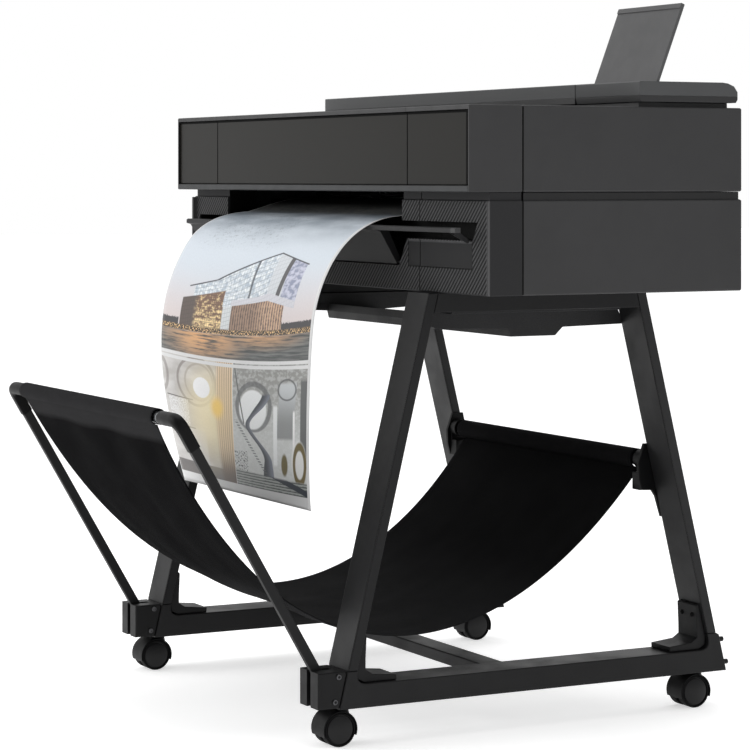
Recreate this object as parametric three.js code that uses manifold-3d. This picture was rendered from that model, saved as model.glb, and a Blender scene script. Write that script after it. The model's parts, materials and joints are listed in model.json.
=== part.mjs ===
// Large format plotter on a castered A-frame stand with a fabric catch basket.
// Millimetres, +Z up, front of the machine towards -Y, origin on the floor under the middle.
import * as THREE from 'three';
import { mergeVertices } from 'three/addons/utils/BufferGeometryUtils.js';
import Module from 'manifold-3d';

const wasm = await Module();
wasm.setup();

// ---------------------------------------------------------------- driving dimensions
const DEPTH_SHIFT = -105.3;      // moves the front plane so that the origin is in the middle
const HALF_W = 658.5;            // half the width of the printer body
const BODY_D = 597;              // depth of the printer body
const UPPER_Z0 = 1022;
const UPPER_Z1 = 1181;
const LOWER_Z0 = 833.2;
const LOWER_Z1 = 1007;
const BEZEL_Y = 42;              // front face of the lower body
const SEAM_Y = 113;              // joint between the front mouldings and the side covers
const NECK_IN = 4;               // inset of the neck between upper and lower body
const WALL = 4;
const GAP = 0.4;                 // clearance between neighbouring parts
const LID_Y0 = 367.3;
const LID_Y1 = 590;
const LID_Z0 = 1190.5;
const LID_Z1 = 1229;
const LID_SPLIT = 429.5;         // joint between roll cover and sheet feeder
const PANEL_SPLIT_L = -451;
const PANEL_SPLIT_R = 417;
const BEZEL_SPLIT = 396;
const SLOT_L = -481;             // ends of the output opening
const SLOT_R = 325;
const RECESS_L = -632;
const RECESS_R = 617;
const SHEET_L = -430;            // edges of the printed sheet
const SHEET_R = 279;
const FLAP_AXIS = [47, 887];
const FEED_Y = 318;
const FEED_Z = 988;
const PINCH_Z = 1010.6;
const ROLL_Y = 470;
const ROLL_Z = 1112;
const ROLL_R = 46;
const ROD_Y = 280;
const ROD_Z = 1082;
const BELT_Y = 306;
const BELT_Z = 1112;
const BELT_HALF = 545;
const PLATE_X = 600;             // inner side of the chassis side plates
const STAND_TOP = 832.9;
const LEG_IN = 393;              // inner and outer side of the stand's side frames
const LEG_OUT = 475;
const LEG_T = 21;
const LEAN = 0.2436;             // sideways shift of a leg per unit of height
const RAIL_Z0 = 71.8;
const RAIL_Z1 = 116;
const RAIL_R = 21;               // radius of the rail's inner corners
const SOCKET_FRONT = 141;
const SOCKET_REAR = 148;
const BEAM_Z0 = 796;
const ARM_X = 433;
const ARM_PIVOT = [-178, 112];
const ARM_TILT = 0.5303;
const ARM_LEN = 579.3;
const BAR_R = 11;
const REAR_BAR = [564, 487];
const BASKET_HALF = 357;
const SWIVEL_Y = [-144, 643.5];
const TRAIL = -14;               // axle ahead of the swivel axis, casters pointing forwards
const WHEEL_R = 31.8;

const frontLegY = (z) => 18 - LEAN * (STAND_TOP - z);
const rearLegY = (z) => 479.4 + LEAN * (STAND_TOP - z);

// ---------------------------------------------------------------- materials
const paint = (name, color, roughness, metalness) =>
  Object.assign(new THREE.MeshStandardMaterial({ color, roughness, metalness }), { name });
const MAT = {
  shell: () => paint('shell_charcoal', '#3b3a3b', 0.55, 0.0),
  bezel: () => paint('bezel_textured', '#414042', 0.7, 0.0),
  gloss: () => paint('front_panel_gloss', '#35332e', 0.22, 0.0),
  trim: () => paint('trim_grey', '#77787a', 0.4, 0.2),
  lid: () => paint('lid_grey', '#4a4b4d', 0.5, 0.0),
  steel: () => paint('stand_black_steel', '#242426', 0.45, 0.4),
  plastic: () => paint('black_plastic', '#1b1b1d', 0.5, 0.0),
  fabric: () => paint('black_fabric', '#141415', 0.95, 0.0),
  rubber: () => paint('rubber', '#161617', 0.85, 0.0),
  metal: () => paint('bright_steel', '#a9adb1', 0.3, 0.9),
  zinc: () => paint('zinc_plate', '#8d9195', 0.45, 0.8),
  paper: () => paint('paper', '#e9e8e4', 0.8, 0.0),
  ink: () => paint('ink_cartridges', '#2a2c33', 0.4, 0.0),
};

// ---------------------------------------------------------------- solid helpers
const UNIT = {
  x: new THREE.Vector3(1, 0, 0),
  y: new THREE.Vector3(0, 1, 0),
  z: new THREE.Vector3(0, 0, 1),
};
const AXES = {
  x: new THREE.Matrix4().makeBasis(UNIT.y, UNIT.z, UNIT.x),
  y: new THREE.Matrix4().makeBasis(UNIT.z, UNIT.x, UNIT.y),
  z: new THREE.Matrix4(),
};

function solid(geometry) {
  const g = geometry.clone();
  g.deleteAttribute('normal');
  g.deleteAttribute('uv');
  const m = mergeVertices(g, 1e-4);
  const mesh = new wasm.Mesh({
    numProp: 3,
    vertProperties: new Float32Array(m.attributes.position.array),
    triVerts: new Uint32Array(m.index.array),
  });
  return new wasm.Manifold(mesh);
}

function geometryOf(manifold) {
  const mesh = manifold.getMesh();
  const g = new THREE.BufferGeometry();
  g.setAttribute('position', new THREE.BufferAttribute(new Float32Array(mesh.vertProperties), 3));
  g.setIndex(new THREE.BufferAttribute(new Uint32Array(mesh.triVerts), 1));
  g.computeVertexNormals();
  return g;
}

const fuse = (first, ...rest) => rest.reduce((a, b) => a.add(b), first);
const carve = (first, ...rest) => rest.reduce((a, b) => a.subtract(b), first);

// A straight bar of any section. Section coordinates: axis x takes [y, z], axis y takes [z, x],
// axis z takes [x, y].
function bar(axis, outline, from, to, chamfer = 0) {
  const shape = Array.isArray(outline)
    ? new THREE.Shape(outline.map((p) => new THREE.Vector2(p[0], p[1])))
    : outline;
  const g = new THREE.ExtrudeGeometry(shape, {
    depth: to - from - 2 * chamfer,
    bevelEnabled: chamfer > 0,
    bevelThickness: chamfer,
    bevelSize: chamfer,
    bevelOffset: -chamfer,
    bevelSegments: 1,
    curveSegments: 6,
  });
  g.translate(0, 0, from + chamfer);
  g.applyMatrix4(AXES[axis]);
  return solid(g);
}

const rect = (a0, a1, b0, b1) => [[a0, b0], [a1, b0], [a1, b1], [a0, b1]];

function box(x0, x1, y0, y1, z0, z1, chamfer = 0) {
  return bar('z', rect(x0, x1, y0, y1), z0, z1, chamfer);
}

function disc(a, b, r, segments = 20) {
  const pts = [];
  for (let i = 0; i < segments; i += 1) {
    const t = ((i + 0.5) / segments) * Math.PI * 2;
    pts.push([a + r * Math.cos(t), b + r * Math.sin(t)]);
  }
  return pts;
}

const rod = (axis, a, b, r, from, to, segments = 20) => bar(axis, disc(a, b, r, segments), from, to);

function ring(a, b, outer, inner, segments = 24) {
  const around = (r) => disc(a, b, r, segments).map((p) => new THREE.Vector2(p[0], p[1]));
  const shape = new THREE.Shape(around(outer));
  shape.holes.push(new THREE.Path(around(inner)));
  return shape;
}

function mesh(name, manifold, material, origin = [0, 0, 0]) {
  const moved = manifold.translate([-origin[0], -origin[1], -origin[2]]);
  const m = new THREE.Mesh(geometryOf(moved), material());
  m.name = name;
  m.position.set(...origin);
  return m;
}

const mirrored = (manifold) => manifold.mirror([1, 0, 0]);
const sides = [['right', (m) => m], ['left', mirrored]];

function group(name, ...children) {
  const g = new THREE.Group();
  g.name = name;
  g.add(...children.flat());
  return g;
}

// ---------------------------------------------------------------- printer: covers
function upperShell() {
  const back = rect(-HALF_W, HALF_W, SEAM_Y + 1, BODY_D);
  const outer = bar('z', back, UPPER_Z0, UPPER_Z1, 2);
  const inner = box(-HALF_W + WALL, HALF_W - WALL, SEAM_Y - 20, BODY_D - WALL, UPPER_Z0 - 5,
    UPPER_Z1 - WALL);
  const rim = box(-640, 640, 376, 577, UPPER_Z1 - WALL, LID_Z0 - GAP);
  const rollMouth = box(-630, 420, 386, 567, 1100, LID_Z1);
  const feedMouth = box(444, 630, 420, 540, 1100, LID_Z1);
  const vents = [];
  for (let i = 0; i < 8; i += 1) {
    vents.push(box(-500 + 22 * i, -490 + 22 * i, BODY_D - 20, BODY_D + 5, 1060, 1120));
  }
  const shell = fuse(carve(outer, inner), rim);
  return mesh('upper_shell', carve(shell, rollMouth, feedMouth, ...vents), MAT.shell);
}

function lowerShell() {
  const outer = bar('z', rect(-HALF_W, HALF_W, SEAM_Y + 1, BODY_D), LOWER_Z0, LOWER_Z1, 2);
  const neckX = HALF_W - NECK_IN;
  const neck = box(-neckX, neckX, SEAM_Y + 3, BODY_D - NECK_IN, LOWER_Z1 - 8, UPPER_Z0 - GAP);
  const inner = box(-HALF_W + WALL, HALF_W - WALL, 90, BODY_D - WALL, LOWER_Z0 + 5, LOWER_Z1 - WALL);
  const throat = box(-neckX + WALL, neckX - WALL, 90, BODY_D - NECK_IN - WALL, LOWER_Z0 + 5, 1100);
  const inletHole = box(-565, -515, BODY_D - 20, BODY_D + 5, 868, 900);
  return mesh('lower_shell', carve(fuse(outer, neck), inner, throat, inletHole), MAT.shell);
}

function frontFrame() {
  const outer = bar('z', rect(-HALF_W, HALF_W, 0, SEAM_Y - 1), UPPER_Z0, UPPER_Z1, 1.5);
  const inner = box(-HALF_W + WALL, HALF_W - WALL, 16, 200, UPPER_Z0 + WALL, UPPER_Z1 - WALL);
  const pocket = box(-655, 655, -5, 10.4, 1034, 1172.5);
  const inkBay = box(430, 646, 5, 30, 1044, 1164);
  const window = box(-440, 404, 5, 30, 1044, 1164);
  const trimSeat = box(-655, 655, -5, 2, 1022.9, 1040);
  const buttonHole = rod('z', 600, 65, 8.5, UPPER_Z1 - 10, UPPER_Z1 + 5, 16);
  return mesh('front_frame', carve(outer, inner, pocket, inkBay, window, trimSeat, buttonHole), MAT.shell);
}

function lowerTrim() {
  const strip = box(-654.7, 654.7, -0.6, 1.7, 1023.2, 1033.4, 0.5);
  const lip = box(-654.7, 654.7, 1, 3.4, 1034.3, 1035.3);
  return mesh('trim_strip', carve(strip, lip), MAT.trim);
}

function frontPanel(name, x0, x1, z0, z1) {
  return mesh(name, box(x0, x1, 4, 9.6, z0, z1, 0.8), MAT.gloss, [(x0 + x1) / 2, 7, (z0 + z1) / 2]);
}

function windowCover() {
  const x0 = PANEL_SPLIT_L + 0.6;
  const x1 = PANEL_SPLIT_R - 0.6;
  const plate = box(x0, x1, 4, 9.6, 1035.4, 1171.6, 0.8);
  return mesh('window_cover', plate, MAT.gloss, [0, 6.8, 1169]);
}

function inkDoor() {
  const plate = box(PANEL_SPLIT_R + 0.6, 654.4, 4, 9.6, 1035.4, 1171.6, 0.8);
  return mesh('ink_door', plate, MAT.gloss, [536, 6.8, 1038]);
}

function bezelCentre() {
  const x1 = BEZEL_SPLIT - 0.4;
  const outer = bar('z', rect(-HALF_W, x1, BEZEL_Y, SEAM_Y), LOWER_Z0, LOWER_Z1, 1.5);
  const neck = box(-HALF_W + NECK_IN, x1, BEZEL_Y + NECK_IN, SEAM_Y, LOWER_Z1 - 5, UPPER_Z0 - GAP);
  const edge = box(-HALF_W + 1, -HALF_W + 8, BEZEL_Y - 8, BEZEL_Y + 6, LOWER_Z0 + 2, LOWER_Z1 - 2, 1);
  const slot = box(SLOT_L, SLOT_R, 20, 130, 966.5, 1100);
  const band = box(RECESS_L, x1 + 10, 20, 90, 933, 966.6);
  const deep = bar('y', [[880, RECESS_L], [880, 313], [933.5, 345], [933.5, RECESS_L]], 20, 89);
  const hollow = box(-HALF_W + WALL, x1 - WALL, 94, 130, 872, 966.5 - WALL);
  const base = box(-HALF_W + WALL, x1 - WALL, BEZEL_Y + WALL, 130, LOWER_Z0 + 5, 876);
  const leftPost = box(-HALF_W + WALL, SLOT_L - WALL, BEZEL_Y + WALL, 130, 970.5, LOWER_Z1 - WALL);
  const rightPost = box(SLOT_R + WALL, x1 - WALL, BEZEL_Y + WALL, 130, 970.5, LOWER_Z1 - WALL);
  const pinHoles = rod('x', FLAP_AXIS[0], FLAP_AXIS[1], 3.4, -640, 330, 16);
  const fascia = box(350, x1 + 10, 20, BEZEL_Y + 1, 881, 930);
  const hollows = [slot, band, deep, hollow, base, leftPost, rightPost, pinHoles, fascia];
  return mesh('bezel_centre', carve(fuse(outer, neck, edge), ...hollows), MAT.bezel);
}

function bezelRight() {
  const x0 = BEZEL_SPLIT + 0.4;
  const outer = bar('z', rect(x0, HALF_W, BEZEL_Y, SEAM_Y), LOWER_Z0, LOWER_Z1, 1.5);
  const neck = box(x0, HALF_W - NECK_IN, BEZEL_Y + NECK_IN, SEAM_Y, LOWER_Z1 - 5, UPPER_Z0 - GAP);
  const band = bar('y', [[933, x0 - 10], [933, 597], [966.5, RECESS_R], [966.5, x0 - 10]], 20, 90);
  const fascia = box(x0 - 10, 595, 20, BEZEL_Y + 1, 881, 930);
  const low = box(x0 + WALL, HALF_W - WALL, BEZEL_Y + WALL + 1, 130, LOWER_Z0 + 5, 929);
  const mid = box(x0 + WALL, HALF_W - WALL, 94, 130, 920, 975);
  const high = box(x0 + WALL, HALF_W - WALL, BEZEL_Y + WALL, 130, 970.5, LOWER_Z1 - WALL);
  return mesh('bezel_right', carve(fuse(outer, neck), band, fascia, low, mid, high), MAT.bezel);
}

function outputFlap() {
  const [ay, az] = FLAP_AXIS;
  const blade = [[-4, 948], [6, 945], [ay - 5.6, az - 2], [ay - 4, az - 4.6], [ay, az - 6],
    [ay + 4, az - 4.6], [ay + 6, az], [20, 957.5], [-1, 957.5], [-4, 955.5]];
  const wide = bar('x', blade.slice().reverse(), -602, 304);
  const lip = bar('x', [[-4, 948], [8, 948], [8, 957.5], [-1, 957.5], [-4, 955.5]], 300, 614);
  const arm = bar('x', [[-2, 948], [36, 928], [41, 932], [8, 957.5]], 587, 590.5);
  const pins = [rod('x', ay, az, 3, -636, -600, 12), rod('x', ay, az, 3, 300, 325, 12)];
  return mesh('output_flap', fuse(wide, lip, arm, ...pins), MAT.lid, [0, ay, az]);
}

// ---------------------------------------------------------------- printer: top
function lidSection(inset = 0) {
  const y0 = LID_Y0 + inset;
  const y1 = LID_Y1 - inset;
  const z1 = LID_Z1 - inset;
  const low = inset > 0 ? LID_Z0 - 10 : LID_Z0;
  return [[y0 + 3, low], [y1 - 4, low], [y1, LID_Z0 + 6], [y1, z1 - 18], [y1 - 8, z1 - 7],
    [y1 - 22, z1 - 1.5], [y1 - 34, z1], [y0 + 2, z1], [y0, z1 - 2], [y0, LID_Z0 + 12]];
}

function rollCover() {
  const outer = bar('x', lidSection(), -656.8, LID_SPLIT - 0.6, 1);
  const inner = bar('x', lidSection(WALL), -652.8, LID_SPLIT - 0.6 - WALL);
  return mesh('roll_cover', carve(outer, inner), MAT.lid, [0, 585, 1195]);
}

function feederHousing() {
  const x0 = LID_SPLIT + 0.6;
  const outer = bar('x', lidSection(), x0, 656.8, 1);
  const recess = box(x0 + 4, 652.8, 404, 574, LID_Z1 - 8, LID_Z1 + 5);
  const under = box(x0 + 4, 652.8, LID_Y0 + WALL, 580, LID_Z0 - 5, LID_Z1 - 13);
  const feedSlot = box(450, 630, 424, 440, LID_Z0, LID_Z1);
  const pins = rod('x', 409, 1224.8, 2.3, x0 + 1.5, 655, 12);
  return mesh('feeder_housing', carve(outer, recess, under, feedSlot, pins), MAT.lid);
}

function sheetSupport() {
  const panel = fuse(box(434.7, 652.2, -3.2, 3.2, 0, 160, 1), box(434.7, 652.2, -5, 3.2, 152, 163, 1));
  const eye = rod('x', 0, 0, 3.2, 434.7, 652.2, 16);
  const pins = rod('x', 0, 0, 2, 432.2, 654.6, 12);
  const body = fuse(panel, eye, pins).rotate([-21.5, 0, 0]).translate([0, 409, 1224.8]);
  return mesh('sheet_support', body, MAT.trim, [543, 409, 1224.8]);
}

function powerButton() {
  const cap = rod('z', 600, 65, 8, UPPER_Z1 - 3.2, UPPER_Z1 + 1.5, 16);
  const stem = rod('z', 600, 65, 5, UPPER_Z1 - 9, UPPER_Z1, 16);
  return mesh('power_button', fuse(cap, stem), MAT.trim, [600, 65, UPPER_Z1]);
}

// ---------------------------------------------------------------- printer: mechanism
function sidePlate() {
  const outline = [[124, 838.6], [560, 838.6], [560, 1100], [530, 1150], [440, 1150], [440, 1128],
    [400, 1128], [400, 1150], [150, 1150], [124, 1120]];
  const plate = bar('x', outline, PLATE_X, PLATE_X + 5);
  const across = (y, z, r) => rod('x', y, z, r, 580, 620, 20);
  const cradle = fuse(across(ROLL_Y, ROLL_Z, 12.5), box(580, 620, 457.5, 482.5, ROLL_Z, 1200));
  const bores = [across(ROD_Y, ROD_Z, 8.2), across(FEED_Y, FEED_Z, 6.4), across(FEED_Y, PINCH_Z, 3.4)];
  const mouth = box(580, 620, 120, 300, 850, 960);
  return carve(plate, cradle, mouth, ...bores);
}

function platen() {
  const slab = box(-PLATE_X + GAP, PLATE_X - GAP, 203, 298, 984, 1000.4, 1);
  const trough = box(-470, 300, 225, 245, 994, 1010);
  return mesh('platen', carve(slab, trough), MAT.plastic);
}

function guideRod() {
  return mesh('carriage_rod', rod('x', ROD_Y, ROD_Z, 8, -607, 607, 20), MAT.metal);
}

function carriage() {
  const x0 = 425;
  const x1 = 540;
  const outline = [[176, 1010], [296, 1010], [296, 1100], [262, 1112], [190, 1100], [176, 1080]];
  const body = bar('x', outline, x0, x1, 2);
  const bore = rod('x', ROD_Y, ROD_Z, 8.4, x0 - 5, x1 + 5, 20);
  const heads = box(x0 + 15, x1 - 15, 205, 262, 1004.5, 1012);
  const clip = fuse(box(470, 500, 290, 303.6, 1086, 1096), box(470, 500, 300.5, 303.6, 1086, 1110));
  return mesh('carriage', fuse(carve(body, bore), heads, clip), MAT.plastic, [482.5, ROD_Y, ROD_Z]);
}

function beltLoop(grow) {
  const r = 10 + grow;
  const pts = [];
  for (let i = 0; i <= 8; i += 1) {
    const t = -Math.PI / 2 + (Math.PI * i) / 8;
    pts.push([BELT_Z + r * Math.sin(t), BELT_HALF + r * Math.cos(t)]);
  }
  for (let i = 0; i <= 8; i += 1) {
    const t = Math.PI / 2 + (Math.PI * i) / 8;
    pts.push([BELT_Z + r * Math.sin(t), -BELT_HALF + r * Math.cos(t)]);
  }
  return pts;
}

function driveBelt() {
  const outer = bar('y', beltLoop(2.2), BELT_Y, BELT_Y + 7);
  const inner = bar('y', beltLoop(0.4), BELT_Y - 2, BELT_Y + 9);
  return mesh('drive_belt', carve(outer, inner), MAT.rubber);
}

function motor() {
  const pulley = rod('y', BELT_Z, BELT_HALF, 10, BELT_Y - 1, BELT_Y + 9, 20);
  const can = rod('y', BELT_Z, BELT_HALF, 24, BELT_Y + 12, BELT_Y + 58, 24);
  const shaft = rod('y', BELT_Z, BELT_HALF, 4, BELT_Y, BELT_Y + 20, 12);
  const foot = box(BELT_HALF, PLATE_X - GAP, BELT_Y + 16, BELT_Y + 20, BELT_Z - 24, BELT_Z + 24);
  return mesh('carriage_motor', fuse(pulley, can, shaft, foot), MAT.zinc);
}

function chassis() {
  const pulley = rod('y', BELT_Z, -BELT_HALF, 10, BELT_Y - 1, BELT_Y + 9, 20);
  const post = rod('y', BELT_Z, -BELT_HALF, 4, BELT_Y, BELT_Y + 18, 12);
  const foot = box(-PLATE_X - 2, -BELT_HALF + 8, BELT_Y + 12, BELT_Y + 16, BELT_Z - 14, BELT_Z + 14);
  const tie = box(-PLATE_X - 2, PLATE_X + 2, 440, 480, 846, 866);
  const plate = sidePlate();
  return mesh('chassis', fuse(plate, mirrored(plate), tie, pulley, post, foot), MAT.zinc);
}

function feedRoller() {
  const drum = rod('x', FEED_Y, FEED_Z, 13.6, -520, 520, 24);
  const shaft = rod('x', FEED_Y, FEED_Z, 6, -610, 610, 20);
  return mesh('feed_roller', fuse(drum, shaft), MAT.rubber, [0, FEED_Y, FEED_Z]);
}

function pinchRollers() {
  const wheels = [];
  for (let i = 0; i < 7; i += 1) {
    const x = -450 + 150 * i;
    wheels.push(rod('x', FEED_Y, PINCH_Z, 6.4, x - 22, x + 22, 16));
  }
  const shaft = rod('x', FEED_Y, PINCH_Z, 3, -608, 608, 12);
  return mesh('pinch_rollers', fuse(shaft, ...wheels), MAT.rubber, [0, FEED_Y, PINCH_Z]);
}

function spindle() {
  const shaft = rod('x', ROLL_Y, ROLL_Z, 12, -615, 615, 20);
  const hub = rod('x', ROLL_Y, ROLL_Z, 42, SHEET_R + 2, SHEET_R + 12, 28);
  const stop = rod('x', ROLL_Y, ROLL_Z, 42, SHEET_L - 12, SHEET_L - 2, 28);
  return mesh('roll_spindle', fuse(shaft, hub, stop), MAT.plastic, [0, ROLL_Y, ROLL_Z]);
}

function paperRoll() {
  const roll = bar('x', ring(ROLL_Y, ROLL_Z, ROLL_R, 12.3, 32), SHEET_L, SHEET_R);
  return mesh('paper_roll', roll, MAT.paper, [0, ROLL_Y, ROLL_Z]);
}

function inkTanks() {
  const tray = box(436, 640, 22, 104, 1046, 1054);
  const tanks = [0, 1, 2, 3].map((i) => box(440 + 50 * i, 486 + 50 * i, 20, 100, 1050, 1150, 1.5));
  const rail = box(436, 640, 98, 106, 1046, 1120);
  return mesh('ink_tanks', fuse(tray, rail, ...tanks), MAT.ink);
}

function powerInlet() {
  const shell = box(-564.6, -515.4, BODY_D - 30, BODY_D + 1, 868.4, 899.6);
  const body = fuse(shell, box(-570, -510, BODY_D - 8, BODY_D - 4.4, 863, 905));
  const cup = box(-556, -524, BODY_D - 18, BODY_D + 5, 874, 894);
  const pins = [-549, -540, -531].map((x) => box(x - 1, x + 1, BODY_D - 20, BODY_D - 3, 880, 888));
  return mesh('power_inlet', fuse(carve(body, cup), ...pins), MAT.plastic);
}

// One edge of the sheet: off the roll, under the pinch rollers, over the platen and the flap, then down.
function sheetEdge(drape) {
  const v = (y, z) => new THREE.Vector2(y, z);
  const off = ROLL_Y - ROLL_R - 0.9;
  const path = new THREE.CurvePath();
  path.add(new THREE.CubicBezierCurve(v(off, ROLL_Z), v(off, 1046), v(385, 1003.4), v(FEED_Y, 1003.4)));
  path.add(new THREE.CubicBezierCurve(v(FEED_Y, 1003.4), v(290, 1003.4), v(240, 1003.4), v(205, 1003.4)));
  path.add(new THREE.CubicBezierCurve(v(205, 1003.4), v(150, 1003.4), v(110, 985), v(67, 974.5)));
  const [a, b, c, d, e, f] = drape.map((p) => v(...p));
  path.add(new THREE.CubicBezierCurve(v(67, 974.5), a, b, c));
  path.add(new THREE.CubicBezierCurve(c, d, e, f));
  const steps = [10, 2, 6, 14, 12];
  return path.curves.flatMap((curve, i) => curve.getPoints(steps[i]).slice(i > 0 ? 1 : 0));
}

// The two edges hang a little differently, so the sheet is a ruled skin between them.
function printedSheet() {
  const near = [[-56, 969], [-104, 866], [-120, 796], [-134, 731], [-138, 503], [-130, 413]];
  const far = [[-50, 970], [-80, 907], [-93, 883], [-171, 745], [-140, 584], [-95, 402]];
  const right = sheetEdge(near);
  const left = sheetEdge(far);
  const pos = [];
  const half = 0.35;
  const tuck = (edge, i) => 28 * Math.max(0, (i + 13 - edge.length) / 12) ** 2;
  [[SHEET_L, left], [SHEET_R, right]].forEach(([side, edge]) => {
    edge.forEach((p, i) => {
      const x = side < 0 ? side + tuck(edge, i) : side;
      const q = edge[Math.min(i + 1, edge.length - 1)];
      const o = edge[Math.max(i - 1, 0)];
      const n = new THREE.Vector2(q.x - o.x, q.y - o.y).normalize();
      pos.push(x, p.x - n.y * half, p.y + n.x * half, x, p.x + n.y * half, p.y - n.x * half);
    });
  });
  const row = 2 * right.length;
  const tri = [];
  const quad = (a, b, c, d) => tri.push(a, c, b, a, d, c);
  for (let i = 0; i < row - 2; i += 2) {
    quad(i, i + 2, i + 2 + row, i + row);
    quad(i + 1, i + 1 + row, i + 3 + row, i + 3);
    quad(i, i + 1, i + 3, i + 2);
    quad(i + row, i + 2 + row, i + 3 + row, i + 1 + row);
  }
  quad(0, row, row + 1, 1);
  quad(row - 2, row - 1, 2 * row - 1, 2 * row - 2);
  const g = new THREE.BufferGeometry();
  g.setAttribute('position', new THREE.Float32BufferAttribute(pos, 3));
  g.setIndex(tri);
  return mesh('printed_sheet', solid(g), MAT.paper);
}

// ---------------------------------------------------------------- stand
// The four points of a rail's inner corner: out of the leg's face, round, and onto the rail.
function innerCorner(face, side) {
  const start = new THREE.Vector2(face(RAIL_Z1 + RAIL_R), RAIL_Z1 + RAIL_R);
  const end = new THREE.Vector2(face(RAIL_Z1) + side * RAIL_R, RAIL_Z1);
  const corner = new THREE.Vector2(face(RAIL_Z1) + side * 2, RAIL_Z1 + 2);
  const curve = new THREE.QuadraticBezierCurve(start, corner, end);
  return curve.getPoints(4).map((p) => [p.x, p.y]);
}

function footRail() {
  const g = 6;
  const end = (z) => rearLegY(z) + LEG_T + g;
  const outline = [[frontLegY(RAIL_Z0), RAIL_Z0], [end(RAIL_Z0), RAIL_Z0],
    [end(SOCKET_REAR - 4), SOCKET_REAR - 4], [rearLegY(SOCKET_REAR) + LEG_T, SOCKET_REAR],
    [rearLegY(SOCKET_REAR), SOCKET_REAR], ...innerCorner(rearLegY, -1),
    ...innerCorner((z) => frontLegY(z) + LEG_T, 1).reverse(),
    [frontLegY(SOCKET_FRONT) + LEG_T, SOCKET_FRONT], [frontLegY(SOCKET_FRONT), SOCKET_FRONT]];
  const sockets = SWIVEL_Y.map((y) => rod('z', ARM_X, y, 5.4, RAIL_Z0 - 5, RAIL_Z0 + 28, 16));
  const heads = [[87, 404], [87, 462], [132.5, 404], [132.5, 462]];
  const bolts = heads.map(([z, x]) => rod('y', z, x, 5, rearLegY(z) + LEG_T, end(z) + 9, 12));
  return fuse(carve(bar('x', outline, LEG_IN, LEG_OUT, 1.5), ...sockets), ...bolts);
}

function leg(line, z0, z1) {
  const outline = [[line(z0), z0], [line(z0) + LEG_T, z0], [line(z1) + LEG_T, z1], [line(z1), z1]];
  return bar('x', outline, LEG_IN, LEG_OUT, 1.5);
}

function topBeam() {
  const outline = [[frontLegY(BEAM_Z0) + LEG_T + GAP, BEAM_Z0], [rearLegY(BEAM_Z0) - GAP, BEAM_Z0],
    [rearLegY(STAND_TOP) - GAP, STAND_TOP], [frontLegY(STAND_TOP) + LEG_T + GAP, STAND_TOP]];
  return bar('x', outline, LEG_IN, LEG_OUT, 1);
}

function lowerCrossBeam() {
  return mesh('lower_cross_beam', box(-LEG_IN + GAP, LEG_IN - GAP, 185, 236, 88, 112, 1.5), MAT.steel);
}

function upperCrossBeam() {
  const trough = [[244, 741], [345, 741], [362, 757], [362, 773], [240, 773], [240, 757]];
  const spine = bar('x', trough, -LEG_IN + GAP, LEG_IN - GAP);
  const side = [[80, 757], [505, 757], [486, 795.6], [50, 795.6], [55, 788], [68, 765]];
  const flange = (x0, x1) => bar('x', side, x0, x1);
  const tab = (x0, x1) => box(x0, x1, 90, 470, 790, 795.6);
  const ends = [flange(LEG_IN - 7, LEG_IN - GAP), flange(-LEG_IN + GAP, -LEG_IN + 7),
    tab(LEG_IN - 7, LEG_IN + 40), tab(-LEG_IN - 40, -LEG_IN + 7)];
  return mesh('upper_cross_beam', fuse(spine, ...ends), MAT.steel);
}

function cornerBracket(line, side) {
  const face = side > 0 ? (z) => line(z) + LEG_T + GAP : (z) => line(z) - GAP;
  const z0 = RAIL_Z1 + GAP;
  const at = (z, out) => [face(z) + side * out, z];
  const outline = [at(z0, RAIL_R + 1), at(z0, 82), at(z0 + 10, 80), at(z0 + 15, 36), at(z0 + 24, 20),
    at(z0 + 46, 15), at(203, 11), at(206, 7), at(206, 0), at(z0 + RAIL_R + 3, 0), at(z0 + 8, 6)];
  return bar('x', side > 0 ? outline : outline.slice().reverse(), 399, 466, 1);
}

function clampBlock() {
  const z0 = 75;
  const z1 = 142;
  const rear = (z) => frontLegY(z) - GAP;
  const top = [[rear(z1 - 6), z1 - 6], [rear(z1 - 6) - 2, z1], [-206, z1]];
  const block = bar('x', [[-206, z0], [rear(z0), z0], ...top], 395, 473, 2);
  const slit = box(ARM_X - 7.6, ARM_X + 7.6, -220, ARM_PIVOT[0] - 6, z0 - 5, z1 + 5);
  const seat = rod('x', ARM_PIVOT[0], ARM_PIVOT[1], 11.2, ARM_X - 7.6, ARM_X + 7.6, 20);
  const mouth = box(ARM_X - 7.6, ARM_X + 7.6, -220, ARM_PIVOT[0] + 12, ARM_PIVOT[1], z1 + 5);
  const pin = rod('x', ARM_PIVOT[0], ARM_PIVOT[1], 4, 400, 466, 14);
  const screws = [[-169.2, 132.8], [-176.7, 87.3]].map((p) => rod('x', p[0], p[1], 4.5, 471, 475.5, 12));
  return fuse(carve(block, slit, seat, mouth), pin, ...screws);
}

// ---------------------------------------------------------------- catch basket
const armPoint = (d) => [ARM_PIVOT[0] - d * Math.sin(ARM_TILT), ARM_PIVOT[1] + d * Math.cos(ARM_TILT)];

function basketArm() {
  const [ty, tz] = armPoint(ARM_LEN - 52);
  const [ny, nz] = [Math.cos(ARM_TILT) * 9.5, Math.sin(ARM_TILT) * 9.5];
  const [py, pz] = ARM_PIVOT;
  const outline = [[py - ny, pz - nz], [py + ny, pz + nz], [ty + ny, tz + nz], [ty - ny, tz - nz]];
  const tube = bar('x', outline, ARM_X - 6.5, ARM_X + 6.5, 1);
  const eye = rod('x', py, pz, 10.2, ARM_X - 6.5, ARM_X + 6.5, 20);
  const bore = rod('x', py, pz, 4.3, ARM_X - 10, ARM_X + 10, 14);
  return carve(fuse(tube, eye), bore);
}

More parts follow.
